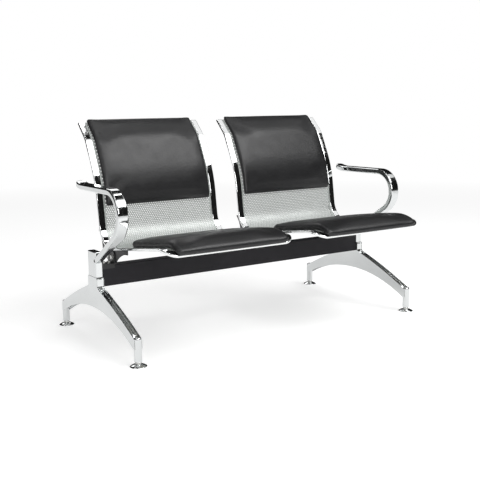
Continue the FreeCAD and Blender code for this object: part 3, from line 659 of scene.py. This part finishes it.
seatPad = {
    "half": 0.2195, "begin": 0.0070, "end": bendStart - 0.086, "thickness": 0.0235, "corner": 0.024,
    "edge": 0.010, "crown": 0.0055, "swellCap": 0.0045, "seamDrop": 0.0085,
}
backPad = {
    "half": 0.2195, "begin": bendEnd + 0.0645, "end": railEnd + 0.0095, "thickness": 0.0165, "corner": 0.010,
    "edge": 0.0085, "crown": 0.0030, "swellCap": 0.0045, "seamDrop": 0.0070,
}
padSetup = {
    "base": -0.0027, "lift": 0.0006, "underPull": 0.0025, "voxel": 0.0060, "frames": 20, "evenRounds": 26,
    "columnStep": 0.012, "rowStep": 0.010, "fill": 0.8,
}
coverCloth = {
    "quality": 3, "mass": 0.3, "tension_stiffness": 25.0, "compression_stiffness": 25.0,
    "shear_stiffness": 8.0, "bending_stiffness": 0.8, "use_pressure": True, "uniform_pressure_force": 4.0,
}
welt = {"radius": 0.0012, "sides": 8, "cornerSteps": 12, "step": 0.008, "probeOut": 0.02}


def padSpan(sizes):
    # Middle and half length of the pad along the seat line
    return (sizes["end"] + sizes["begin"]) / 2, (sizes["end"] - sizes["begin"]) / 2


def spread(half, fine):
    # Coordinates from -half to half, closer together near both ends
    near = [0.0, 0.0015, 0.0035, 0.006, 0.009, 0.013, 0.018, 0.025]
    inner = half - near[-1]
    count = max(2, math.ceil(2 * inner / fine))
    middle = [-inner + 2 * inner * k / count for k in range(1, count)]
    low = [-half + d for d in near]
    return low + middle + [-v for v in reversed(low)]


def padBase(x, station):
    # The underside lies on the sheet, and steps up where it passes over the rim
    flat = rim["half"] - rim["corner"]
    back = seatPath.at(station)[0] - frontY - rim["corner"]
    reach = math.hypot(max(abs(x) - flat, 0.0), min(back, 0.0))
    inner = rim["corner"] - rim["width"]
    if back < 0 and reach > inner - 0.001:
        return padSetup["lift"]
    return padSetup["base"]


def padHeight(sizes, depth, x, station):
    # Height of the top face at a distance from the outline
    edge = sizes["edge"]
    if depth < edge:
        return sizes["thickness"] - edge + math.sqrt(max(edge ** 2 - (edge - depth) ** 2, 0.0))
    middle, halfLength = padSpan(sizes)
    across = 1 - (x / sizes["half"]) ** 2
    lengthwise = 1 - ((station - middle) / halfLength) ** 2
    return sizes["thickness"] + sizes["crown"] * (max(across, 0.0) * max(lengthwise, 0.0)) ** 0.5


def padPlan(sizes, a, b):
    # Rounds the corners of the plan; keeps the distance from the outline
    halfLength = padSpan(sizes)[1]
    radius = sizes["corner"]
    dx = abs(a) - (sizes["half"] - radius)
    ds = abs(b) - (halfLength - radius)
    depth = min(sizes["half"] - abs(a), halfLength - abs(b))
    if dx > 0 and ds > 0:
        factor = max(dx, ds) / math.hypot(dx, ds)
        a = math.copysign(sizes["half"] - radius + dx * factor, a)
        b = math.copysign(halfLength - radius + ds * factor, b)
    return a, b, depth


def padStart(name, sizes, side):
    middle, halfLength = padSpan(sizes)
    columns = spread(sizes["half"], padSetup["columnStep"])
    rows = spread(halfLength, padSetup["rowStep"])
    work = bmesh.new()
    top = []
    under = []
    for b in rows:
        topRow = []
        underRow = []
        for a in columns:
            x, along, depth = padPlan(sizes, a, b)
            station = middle + along
            base = padBase(x, station)
            height = padSetup["base"] + padHeight(sizes, depth, x, station)
            pull = padSetup["underPull"] if depth < 0.0005 else 0.0
            shrink = 1 - pull / sizes["half"]
            topRow.append(work.verts.new(seatPath.point(side * seatX + x, station, height)))
            underRow.append(work.verts.new(seatPath.point(side * seatX + x * shrink, station, base)))
        top.append(topRow)
        under.append(underRow)
    lastRow = len(rows) - 1
    lastColumn = len(columns) - 1
    for r in range(lastRow):
        for c in range(lastColumn):
            work.faces.new((top[r][c], top[r][c + 1], top[r + 1][c + 1], top[r + 1][c]))
            work.faces.new((under[r][c], under[r + 1][c], under[r + 1][c + 1], under[r][c + 1]))
    first, last = under[0], under[lastRow]
    for c in range(lastColumn):
        work.faces.new((top[0][c], first[c], first[c + 1], top[0][c + 1]))
        work.faces.new((top[lastRow][c], top[lastRow][c + 1], last[c + 1], last[c]))
    for r in range(lastRow):
        a, b, c, d = top[r], top[r + 1], under[r + 1], under[r]
        work.faces.new((a[0], b[0], c[0], d[0]))
        work.faces.new((a[lastColumn], d[lastColumn], c[lastColumn], b[lastColumn]))
    return meshFromBmesh(name, work)


linePoints = [seatPath.at(seatPath.length * k / 180) for k in range(181)]


def underWay(point):
    # Direction through the pad towards the sheet, near a point
    heading = min(linePoints, key=lambda p: (point.y - p[0]) ** 2 + (point.z - p[1]) ** 2)[2]
    return Vector((0.0, math.sin(heading), -math.cos(heading)))


def evenOut(mesh, steps):
    # Averages the cover's movement with its neighbours, so that it stays taut
    ends = np.array([edge.vertices[:] for edge in mesh.edges])
    count = np.maximum(np.bincount(ends.ravel(), minlength=len(steps)), 1)[:, None]
    for _ in range(padSetup["evenRounds"]):
        total = np.zeros_like(steps)
        np.add.at(total, ends[:, 0], steps[ends[:, 1]])
        np.add.at(total, ends[:, 1], steps[ends[:, 0]])
        steps = (steps + total / count) / 2
    return steps


def padCloth(obj, sizes):
    # The cover swells under pressure, held where it is stapled to the board
    cover = obj.data
    group = obj.vertex_groups.new(name="stapled")
    held = [v.index for v in cover.vertices if v.normal.dot(underWay(v.co)) > 0.75]
    group.add(held, 1.0, "REPLACE")
    start = [vertex.co.copy() for vertex in cover.vertices]
    cloth = obj.modifiers.new("cover", "CLOTH")
    for key, value in coverCloth.items():
        setattr(cloth.settings, key, value)
    cloth.settings.vertex_group_mass = "stapled"
    cloth.settings.effector_weights.gravity = 0.0
    cloth.collision_settings.use_collision = False
    cloth.point_cache.frame_start = 1
    cloth.point_cache.frame_end = padSetup["frames"]
    scene = bpy.context.scene
    for number in range(1, padSetup["frames"] + 1):
        scene.frame_set(number)
    graph = bpy.context.evaluated_depsgraph_get()
    swollen = obj.evaluated_get(graph).data
    moved = [vertex.co.copy() for vertex in swollen.vertices]
    obj.modifiers.remove(cloth)
    steps = []
    for old, new in zip(start, moved):
        step = new - old
        steps.append(tuple(step * min(1.0, sizes["swellCap"] / max(step.length, 1e-9))))
    for vertex, old, step in zip(cover.vertices, start, evenOut(cover, np.array(steps))):
        vertex.co = old + Vector(step)
    scene.frame_set(1)


def buildPad(name, sizes, side):
    obj = addObject(name, padStart(name, sizes, side), finishes["upholstery"])
    remesh = obj.modifiers.new("remesh", "REMESH")
    remesh.mode = "VOXEL"
    remesh.voxel_size = padSetup["voxel"]
    remesh.use_smooth_shade = True
    obj = bakeDown(obj, name, finishes["upholstery"])
    padCloth(obj, sizes)
    smooth = obj.modifiers.new("smooth", "SMOOTH")
    smooth.factor = 0.5
    smooth.iterations = 2
    finer = obj.modifiers.new("finer", "SUBSURF")
    finer.levels = 1
    finer.render_levels = 1
    obj = bakeDown(obj, name, finishes["upholstery"])
    shadeSmooth(obj.data)
    return obj


def makeWeltTree():
    tree, given, result = newGeometryTree("welt", [("Radius", "Float"), ("Finish", "Material")])
    curve = place(tree, "GeometryNodeMeshToCurve", {"Mesh": given["Geometry"]}).outputs["Curve"]
    profile = {"Resolution": welt["sides"], "Radius": given["Radius"]}
    circle = place(tree, "GeometryNodeCurvePrimitiveCircle", profile).outputs["Curve"]
    tube = place(tree, "GeometryNodeCurveToMesh", {"Curve": curve, "Profile Curve": circle}).outputs["Mesh"]
    smooth = place(tree, "GeometryNodeSetShadeSmooth", {"Geometry": tube})
    finishTree(tree, smooth.outputs["Geometry"], given["Finish"], result)
    return tree


weltTree = makeWeltTree()


def buildWelt(name, pad, sizes, side):
    # A thin welt round the edge of the cover, laid on the finished pad
    tree = BVHTree.FromObject(pad, bpy.context.evaluated_depsgraph_get())
    middle, halfLength = padSpan(sizes)
    height = padSetup["base"] + sizes["thickness"] - sizes["seamDrop"]
    outline = roundedSection(2 * sizes["half"], 2 * halfLength, sizes["corner"], welt["cornerSteps"])
    points = []
    for (x0, s0), (x1, s1) in zip(outline, outline[1:] + outline[:1]):
        count = max(1, round(math.hypot(x1 - x0, s1 - s0) / welt["step"]))
        for k in range(count):
            x = x0 + (x1 - x0) * k / count
            s = s0 + (s1 - s0) * k / count
            outer = 1.0 + welt["probeOut"] / math.hypot(x, s)
            probe = seatPath.point(side * seatX + x * outer, middle + s * outer, height)
            points.append(tree.find_nearest(probe)[0])
    mesh = bpy.data.meshes.new(name + "Line")
    count = len(points)
    mesh.from_pydata(points, [(k, (k + 1) % count) for k in range(count)], [])
    obj = addObject(name, mesh)
    giveTree(obj, weltTree, {"Radius": welt["radius"], "Finish": finishes["upholstery"]})
    return bakeDown(obj, name, finishes["upholstery"])


for word, side in sides:
    for kind, sizes in (("seat", seatPad), ("back", backPad)):
        pad = buildPad(word + "_" + kind + "_cushion", sizes, side)
        edging = buildWelt(word + "_" + kind + "_welt", pad, sizes, side)
        standFor(pad, word + "_" + kind + "_pad")
        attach(edging, "frame")
    print(word, "pads")


# Legs: one rounded casting each, with a ribbed channel along the top of both arms

leg = {
    "half": 0.0135, "columnFront": 0.027, "columnRear": 0.041, "columnTop": 0.244, "rootHeight": 0.204,
    "hump": 0.006, "rootRound": 0.014, "arch": 0.139, "foot": 0.312, "endTop": 0.088, "endLow": 0.060,
    "edge": 0.005, "edgeSteps": 6, "channelRim": 0.0033, "channelDepth": 0.0034, "channelEase": 0.0012,
    "channelGap": 0.012, "channelEnd": 0.014, "wallColumns": (0.0002, -0.0006, -0.002),
    "ribHalf": 0.0011, "ribHeight": 0.0015, "ribFrom": 0.6, "ribColumns": (0.0022, 0.0004, -0.0003, -0.0008),
    "postRadius": 0.0135, "postTop": 0.099, "postMiddle": 0.06, "postLow": 0.015, "postDome": 0.008,
    "stemBore": 0.0052, "boreDepth": 0.02,
}


def nearTurn(angle, reference):
    # The same direction, at most half a turn from the reference
    return reference + math.remainder(angle - reference, 2 * math.pi)


def arcThrough(a, b, c, count):
    # Points along the circle through three points of a plane, from a to c
    ax, ay = a
    bx, by = b
    cx, cy = c
    d = 2 * (ax * (by - cy) + bx * (cy - ay) + cx * (ay - by))
    aa = ax ** 2 + ay ** 2
    bb = bx ** 2 + by ** 2
    cc = cx ** 2 + cy ** 2
    ux = (aa * (by - cy) + bb * (cy - ay) + cc * (ay - by)) / d
    uy = (aa * (cx - bx) + bb * (ax - cx) + cc * (bx - ax)) / d
    radius = math.hypot(ax - ux, ay - uy)
    start = math.atan2(ay - uy, ax - ux)
    through = nearTurn(math.atan2(by - uy, bx - ux), start)
    end = nearTurn(math.atan2(cy - uy, cx - ux), through)
    return [
        (ux + radius * math.cos(start + (end - start) * k / count),
         uy + radius * math.sin(start + (end - start) * k / count))
        for k in range(count + 1)
    ]


def columnReach(sign):
    return leg["columnFront"] if sign < 0 else leg["columnRear"]


def armTop(sign, share):
    root = columnReach(sign)
    y = sign * (root + share * (leg["foot"] - root))
    z = leg["rootHeight"] + share * (leg["endTop"] - leg["rootHeight"])
    return y, z + leg["hump"] * math.sin(math.pi * share)


def roundedJoin(before, corner, after, radius, count=8):
    # Replaces a corner between two straight ends with an arc
    a = Vector(before) - Vector(corner)
    b = Vector(after) - Vector(corner)
    a.normalize()
    b.normalize()
    half = a.angle(b) / 2
    reach = radius / math.tan(half)
    p = Vector(corner) + a * reach
    q = Vector(corner) + b * reach
    centre = Vector(corner) + (a + b).normalized() * (radius / math.sin(half))
    m = centre + (Vector(corner) - centre).normalized() * radius
    return arcThrough(tuple(p), tuple(m), tuple(q), count)


def legOutline():
    # Three runs of (y, z): down the front arm's top, under the arch, down the rear arm's top
    outline = []
    for sign in (-1, 1):
        root = columnReach(sign)
        top = arcThrough(armTop(sign, 0.0), armTop(sign, 0.5), armTop(sign, 1.0), 48)
        nearRoot = roundedJoin((sign * root, leg["columnTop"]), top[0], top[3], leg["rootRound"])
        drop = leg["columnTop"] - nearRoot[0][1]
        column = [(sign * root, leg["columnTop"] - drop * k / 4) for k in range(4)]
        outline.append(column + nearRoot + [p for p in top if abs(p[0]) > abs(nearRoot[-1][0]) + 0.002])
    low = arcThrough((-leg["foot"], leg["endLow"]), (0.0, leg["arch"]), (leg["foot"], leg["endLow"]), 96)
    return outline[0], low, outline[1]


def channelDip(across, along, half):
    # Depth of the channel less its rib, from the distances to the leg's middle and the channel's end
    ease = leg["channelEase"]
    width = half
    if along < half:
        width = math.sqrt(max(half ** 2 - (half - along) ** 2, 0.0))
    dip = leg["channelDepth"] * eased((width - across) / ease)
    if along > half * leg["ribFrom"]:
        dip -= leg["ribHeight"] * eased((leg["ribHalf"] + ease / 2 - across) / ease)
    return dip


def buildLeg(name, side):
    front, low, rear = legOutline()
    path = front + low + rear[::-1]
    count = len(path)
    edge = leg["edge"]
    channelHalf = leg["half"] - leg["channelRim"]
    steps = [math.radians(90 * k / leg["edgeSteps"]) for k in range(leg["edgeSteps"] + 1)]
    columns = [leg["half"] - edge * (1 - math.sin(a)) for a in steps]
    columns += [channelHalf + d for d in leg["wallColumns"]]
    columns += [leg["ribHalf"] + d for d in leg["ribColumns"]]
    xs = sorted(set([-v for v in columns] + columns))
    rings = []
    for k in range(count):
        y, z = path[k]
        ahead = Vector(path[min(k + 1, count - 1)]) - Vector(path[max(k - 1, 0)])
        ahead.normalize()
        inward = Vector((ahead.y, -ahead.x))
        sign = -1 if k < len(front) + len(low) / 2 else 1
        onTop = k < len(front) or k >= len(front) + len(low)
        begin = columnReach(sign) + leg["channelGap"]
        along = min(abs(y) - begin, leg["foot"] - leg["channelEnd"] - abs(y))
        ring = []
        for x in xs:
            a = abs(x)
            depth = 0.0
            if a > leg["half"] - edge:
                depth = edge - math.sqrt(max(edge ** 2 - (a - leg["half"] + edge) ** 2, 0.0))
            if onTop and along > 0:
                depth += channelDip(a, along, channelHalf)
            p = Vector((y, z)) + inward * depth
            ring.append((side * legX + x, beamY + p.x, p.y))
        rings.append(ring)
    work = bmesh.new()
    rows = skinRings(work, rings, False, False, False)
    work.faces.new([row[0] for row in rows])
    work.faces.new([row[-1] for row in reversed(rows)])
    work.faces.new(rows[0] + rows[-1][::-1])
    for foot in (-1, 1):
        lathe(work, postOutline(), (side * legX, beamY + foot * leg["foot"], 0.0), 48)
    return casting(name, work, "chromed_casting")


def postOutline():
    r = leg["postRadius"]
    low = leg["postLow"]
    dome = leg["postDome"]
    bore = leg["stemBore"]
    outline = [(0.0, leg["postTop"])]
    for k in range(9):
        a = math.radians(90 - 90 * k / 8)
        outline.append((r - dome + dome * math.cos(a), leg["postTop"] - dome + dome * math.sin(a)))
    outline += [(r, leg["postMiddle"]), (r, low + 0.003), (r - 0.0005, low + 0.0015), (r - 0.002, low)]
    outline += [(bore, low), (bore, low + leg["boreDepth"]), (0.0, low + leg["boreDepth"])]
    return outline


for word, side in sides:
    standFor(buildLeg(word + "_leg_casting", side), word + "_leg")
print("legs")


# Armrests: a block on the column and a band that loops forwards and back

arm = {
    "blockTop": 0.334, "blockEdge": 0.005, "topEdge": 0.0025, "bandWidth": 0.040, "bandThickness": 0.022,
    "bandEdge": 0.0065, "baseWidth": 0.027, "taperTop": 0.420, "rootY": -0.015, "rootDrop": 0.0333,
    "height": 0.556, "reach": 0.230, "corner": 0.078, "lower": 0.085, "tail": 0.062,
    "tailRadius": 0.120, "tailRise": 20.0, "tailTip": 0.012, "tipSteps": 12, "tipWidth": 0.006,
    "tipThin": 0.35, "seam": ((0.0003, 0.0012), (0.0009, 0.0003), (0.0018, 0.0)), "topSteps": 5,
}


def makeArmPath():
    rootZ = arm["blockTop"] - arm["rootDrop"]
    centreY = -arm["reach"] + arm["lower"]
    centreZ = arm["height"] - arm["corner"]
    away = math.hypot(centreY - arm["rootY"], centreZ - rootZ)
    swing = math.asin(arm["lower"] / away)
    heading = math.atan2(centreZ - rootZ, centreY - arm["rootY"]) + swing
    moves = [
        run(away * math.cos(swing)),
        turn(arm["lower"], 90.0 - math.degrees(heading)),
        turn(arm["corner"], -90.0),
        run(arm["reach"] - arm["corner"] + arm["tail"]),
        turn(arm["tailRadius"], arm["tailRise"]),
        run(arm["tailTip"]),
    ]
    return SidePath(moves, (beamY + arm["rootY"], rootZ), heading)


def bandWidthAt(z):
    share = eased((z - arm["blockTop"]) / (arm["taperTop"] - arm["blockTop"]))
    return arm["baseWidth"] + share * (arm["bandWidth"] - arm["baseWidth"])


def buildArmrest(name, side):
    path = makeArmPath()
    tipRadius = arm["bandWidth"] / 2

    def ring(s, width, thickness, radius):
        section = roundedSection(width, thickness, radius, 6)
        return [path.point(side * legX + a, s, b) for a, b in section]

    rings = []
    for s in path.stations(0.0, path.length - tipRadius, 1.5, 0.012):
        rings.append(ring(s, bandWidthAt(path.at(s)[1]), arm["bandThickness"], arm["bandEdge"]))
    for k in range(1, arm["tipSteps"] + 1):
        swing = math.radians(90 * k / arm["tipSteps"])
        width = max(arm["bandWidth"] * math.cos(swing), arm["tipWidth"])
        thin = arm["tipThin"] + (1 - arm["tipThin"]) * math.cos(swing) ** 0.5
        thickness = arm["bandThickness"] * thin
        radius = min(arm["bandEdge"], width / 2 - 0.0002, thickness / 2 - 0.0002)
        rings.append(ring(path.length - tipRadius * (1 - math.sin(swing)), width, thickness, radius))
    work = bmesh.new()
    skinRings(work, rings)
    skinRings(work, blockRings(side))
    return casting(name, work, "chromed_casting")


def blockRings(side):
    # Upright rounded block, its lower edge slightly eased at the seam with the leg
    depth = leg["columnFront"] + leg["columnRear"]
    y = beamY + (leg["columnRear"] - leg["columnFront"]) / 2
    topEdge = arm["topEdge"]
    levels = [(leg["columnTop"] + rise, inset) for rise, inset in arm["seam"]]
    for k in range(arm["topSteps"] + 1):
        a = math.radians(90 * k / arm["topSteps"])
        levels.append((arm["blockTop"] - topEdge * (1 - math.sin(a)), topEdge * (1 - math.cos(a))))
    rings = []
    for z, inset in levels:
        radius = arm["blockEdge"] - inset * 0.5
        section = roundedSection(2 * leg["half"] - 2 * inset, depth - 2 * inset, radius, 6)
        rings.append([Vector((side * legX + a, y + b, z)) for a, b in section])
    return rings


for word, side in sides:
    standFor(buildArmrest(word + "_armrest_casting", side), word + "_armrest")
print("armrests")


# Glides: domed discs turned on the lathe, with their stems and soles

glide = {
    "radius": 0.029, "edge": 0.002, "rise": 0.0085, "bulge": 0.62, "sheet": 0.002, "collar": 0.0095,
    "hole": 0.0052, "foot": ((0.0, 0.0010), (-0.0004, 0.0003), (-0.0016, 0.0)),
}


def discOutline():
    top = glide["edge"] + glide["rise"]
    middle = ((glide["radius"] + glide["collar"]) / 2, glide["edge"] + glide["bulge"] * glide["rise"])
    outer = arcThrough((glide["radius"], glide["edge"]), middle, (glide["collar"], top), 20)
    inner = [(r - glide["sheet"] * 0.8, h - glide["sheet"]) for r, h in outer]
    inner = [(max(r, 0.0), max(h, 0.0004)) for r, h in inner]
    foot = [(glide["radius"] + r, h) for r, h in glide["foot"]]
    return [(glide["hole"], top - 0.001), (glide["hole"], top)] + outer[::-1] + foot + inner


def buildDisc(name, x, y):
    work = bmesh.new()
    lathe(work, discOutline(), (x, y, 0.0), 72)
    return casting(name, work, "glide_chrome")


def copyNode(name, node, body="frame", angle=32.0):
    standFor(smoothCopy(name, node, finishes[slotOf[node]], angle), node, body)


for word, side in sides:
    for foot, where in ((-1, "front"), (1, "rear")):
        corner = word + "_" + where
        disc = buildDisc("disc_" + corner, side * legX, beamY + foot * leg["foot"])
        standFor(disc, "glide_disc_" + corner, "glide_" + corner)
        copyNode("stem_" + corner, "glide_stem_" + corner, "glide_" + corner)
        copyNode("sole_" + corner, "glide_insert_" + corner, "glide_" + corner)
print("glides")


# Beam, brackets and fasteners

copyNode("beam", "beam_tube")
for word, side in sides:
    for where in ("inner", "outer"):
        for kind, short in (("seat_cradle_", "_cradle_"), ("beam_saddle_", "_saddle_")):
            copyNode(word + short + where, word + "_" + kind + where)
for node in ("column_bolts", "leg_tongue_screws", "armrest_set_screws", "cradle_bolts", "cradle_nuts",
             "outer_saddle_bolts", "inner_saddle_bolts", "left_pad_screws", "right_pad_screws"):
    copyNode(node + "_smooth", node, "frame", 25.0)
print("hardware")


# Floor, background, lights and camera

stage = {
    "floorReach": 40.0, "floorTone": 0.80, "floorGlow": 0.42, "fadeBegin": 1.6, "fadeEnd": 6.0,
    "worldLight": 0.32,
}
white = (1.0, 1.0, 1.0, 1.0)


def seenRays(tree):
    # 1 for rays that show the floor or the world, 0 for those that only light the bench
    rays = place(tree, "ShaderNodeLightPath")
    seen = mathNode(tree, "MAXIMUM", rays.outputs["Is Camera Ray"], rays.outputs["Is Glossy Ray"])
    return mathNode(tree, "MAXIMUM", seen, rays.outputs["Is Transmission Ray"])


def makeFloor():
    # Pale near the bench and plain white far away
    mesh = bpy.data.meshes.new("floor")
    reach = stage["floorReach"]
    corners = [(-reach, -reach, 0.0), (reach, -reach, 0.0), (reach, reach, 0.0), (-reach, reach, 0.0)]
    mesh.from_pydata(corners, [], [(0, 1, 2, 3)])
    material = bpy.data.materials.new("paleFloor")
    material.use_nodes = True
    tree = material.node_tree
    tree.nodes.clear()
    seen = seenRays(tree)
    body = place(tree, "ShaderNodeBsdfDiffuse", {"Color": (*[stage["floorTone"]] * 3, 1.0)})
    lit = mathNode(tree, "MULTIPLY", seen, stage["floorGlow"])
    glow = place(tree, "ShaderNodeEmission", {"Color": white, "Strength": lit})
    both = place(tree, "ShaderNodeAddShader", {0: body.outputs["BSDF"], 1: glow.outputs["Emission"]})
    plain = place(tree, "ShaderNodeEmission", {"Strength": 1.0})
    coords = place(tree, "ShaderNodeTexCoord").outputs["Object"]
    far = place(tree, "ShaderNodeVectorMath", {0: coords}, operation="LENGTH").outputs["Value"]
    fade = place(tree, "ShaderNodeMapRange", {
        "Value": far, "From Min": stage["fadeBegin"], "From Max": stage["fadeEnd"],
    })
    blend = place(tree, "ShaderNodeMixShader", {
        "Fac": mathNode(tree, "MULTIPLY", fade.outputs["Result"], seen),
        1: both.outputs["Shader"], 2: plain.outputs["Emission"],
    })
    place(tree, "ShaderNodeOutputMaterial", {"Surface": blend.outputs["Shader"]})
    addObject("floor", mesh, material)


def makeWorld():
    world = bpy.data.worlds.new("studio")
    bpy.context.scene.world = world
    world.use_nodes = True
    tree = world.node_tree
    tree.nodes.clear()
    light = place(tree, "ShaderNodeBackground", {"Color": white, "Strength": stage["worldLight"]})
    seen = place(tree, "ShaderNodeBackground", {"Color": white, "Strength": 1.0})
    blend = place(tree, "ShaderNodeMixShader", {
        "Fac": seenRays(tree), 1: light.outputs["Background"], 2: seen.outputs["Background"],
    })
    place(tree, "ShaderNodeOutputWorld", {"Surface": blend.outputs["Shader"]})


def addLamp(name, location, size, energy, aim=(0.0, 0.0, 0.45)):
    lamp = bpy.data.lights.new(name, "AREA")
    lamp.shape = "RECTANGLE"
    lamp.size = size[0]
    lamp.size_y = size[1]
    lamp.energy = energy
    obj = bpy.data.objects.new(name, lamp)
    bpy.context.scene.collection.objects.link(obj)
    obj.location = location
    obj.rotation_euler = (Vector(aim) - Vector(location)).to_track_quat("-Z", "Y").to_euler()


# Black studio flags, seen only in the plating and other gloss
flags = {
    "bandRadius": 6.5, "bandLow": 0.35, "bandHigh": 6.0, "rearHigh": 12.0,
    "lidHeight": 6.6, "lidRadius": 3.0,
}


def addFlag(name, mesh):
    material, tree, shader = newMaterial(name, (0.004, 0.004, 0.004), 0.9)
    obj = addObject(name, mesh, material)
    obj.visible_camera = False
    obj.visible_diffuse = False
    obj.visible_transmission = False
    obj.visible_volume_scatter = False
    obj.visible_shadow = False


def circlePoints(radius, turns=48):
    angles = [2 * math.pi * k / turns for k in range(turns)]
    return [(radius * math.cos(a), radius * math.sin(a)) for a in angles]


def makeFlags():
    work = bmesh.new()
    low = []
    high = []
    for x, y in circlePoints(flags["bandRadius"]):
        rearShare = min(max(2.0 * y / flags["bandRadius"], 0.0), 1.0)
        low.append((x, y, flags["bandLow"]))
        high.append((x, y, flags["bandHigh"] + rearShare * (flags["rearHigh"] - flags["bandHigh"])))
    skinRings(work, [low, high], True, False, False)
    addFlag("darkBand", meshFromBmesh("darkBand", work))
    work = bmesh.new()
    work.faces.new([work.verts.new((x, y, flags["lidHeight"])) for x, y in circlePoints(flags["lidRadius"])])
    addFlag("darkLid", meshFromBmesh("darkLid", work))


# The photograph's own viewpoint, fitted to the beam, the rims and the feet
photoView = {
    "azimuth": -0.582155, "pitch": 0.166606, "roll": -0.0132608, "focalPixels": 791.631, "sensor": 36.0,
    "x": -1.67408, "fromBeam": -2.55122, "z": 0.82461,
}


def makeCamera():
    pitch = photoView["pitch"]
    roll = photoView["roll"]
    right = Vector((math.cos(photoView["azimuth"]), math.sin(photoView["azimuth"]), 0.0))
    ahead = Vector((-right.y * math.cos(pitch), right.x * math.cos(pitch), -math.sin(pitch)))
    upward = right.cross(ahead)
    x = right * math.cos(roll) + upward * math.sin(roll)
    y = upward * math.cos(roll) - right * math.sin(roll)
    data = bpy.data.cameras.new("photoView")
    data.sensor_width = photoView["sensor"]
    data.lens = photoView["sensor"] * photoView["focalPixels"] / 480
    data.clip_end = 200.0
    obj = bpy.data.objects.new("photoView", data)
    bpy.context.scene.collection.objects.link(obj)
    matrix = obj.matrix_world.copy()
    spot = (photoView["x"], photoView["fromBeam"] + beamY, photoView["z"])
    for row in range(3):
        matrix[row][0] = x[row]
        matrix[row][1] = y[row]
        matrix[row][2] = -ahead[row]
        matrix[row][3] = spot[row]
    obj.matrix_world = matrix
    bpy.context.scene.camera = obj


# Place, width and height, and power of each lamp
lamps = {
    "frontLamp": ((1.5, -2.6, 3.8), (3.6, 1.9), 115.0),
    "keyLamp": ((-1.3, -4.3, 2.0), (2.4, 1.6), 70.0),
    "topLamp": ((0.3, -0.3, 4.6), (3.2, 0.25), 20.0),
    "leftLamp": ((-3.4, -1.6, 2.6), (2.0, 2.0), 20.0),
    "backLamp": ((0.4, 3.4, 3.2), (3.0, 1.5), 25.0),
}

makeFloor()
makeWorld()
makeFlags()
for name, settings in lamps.items():
    addLamp(name, *settings)
makeCamera()
bpy.context.scene.view_settings.view_transform = "Standard"
print("stage")
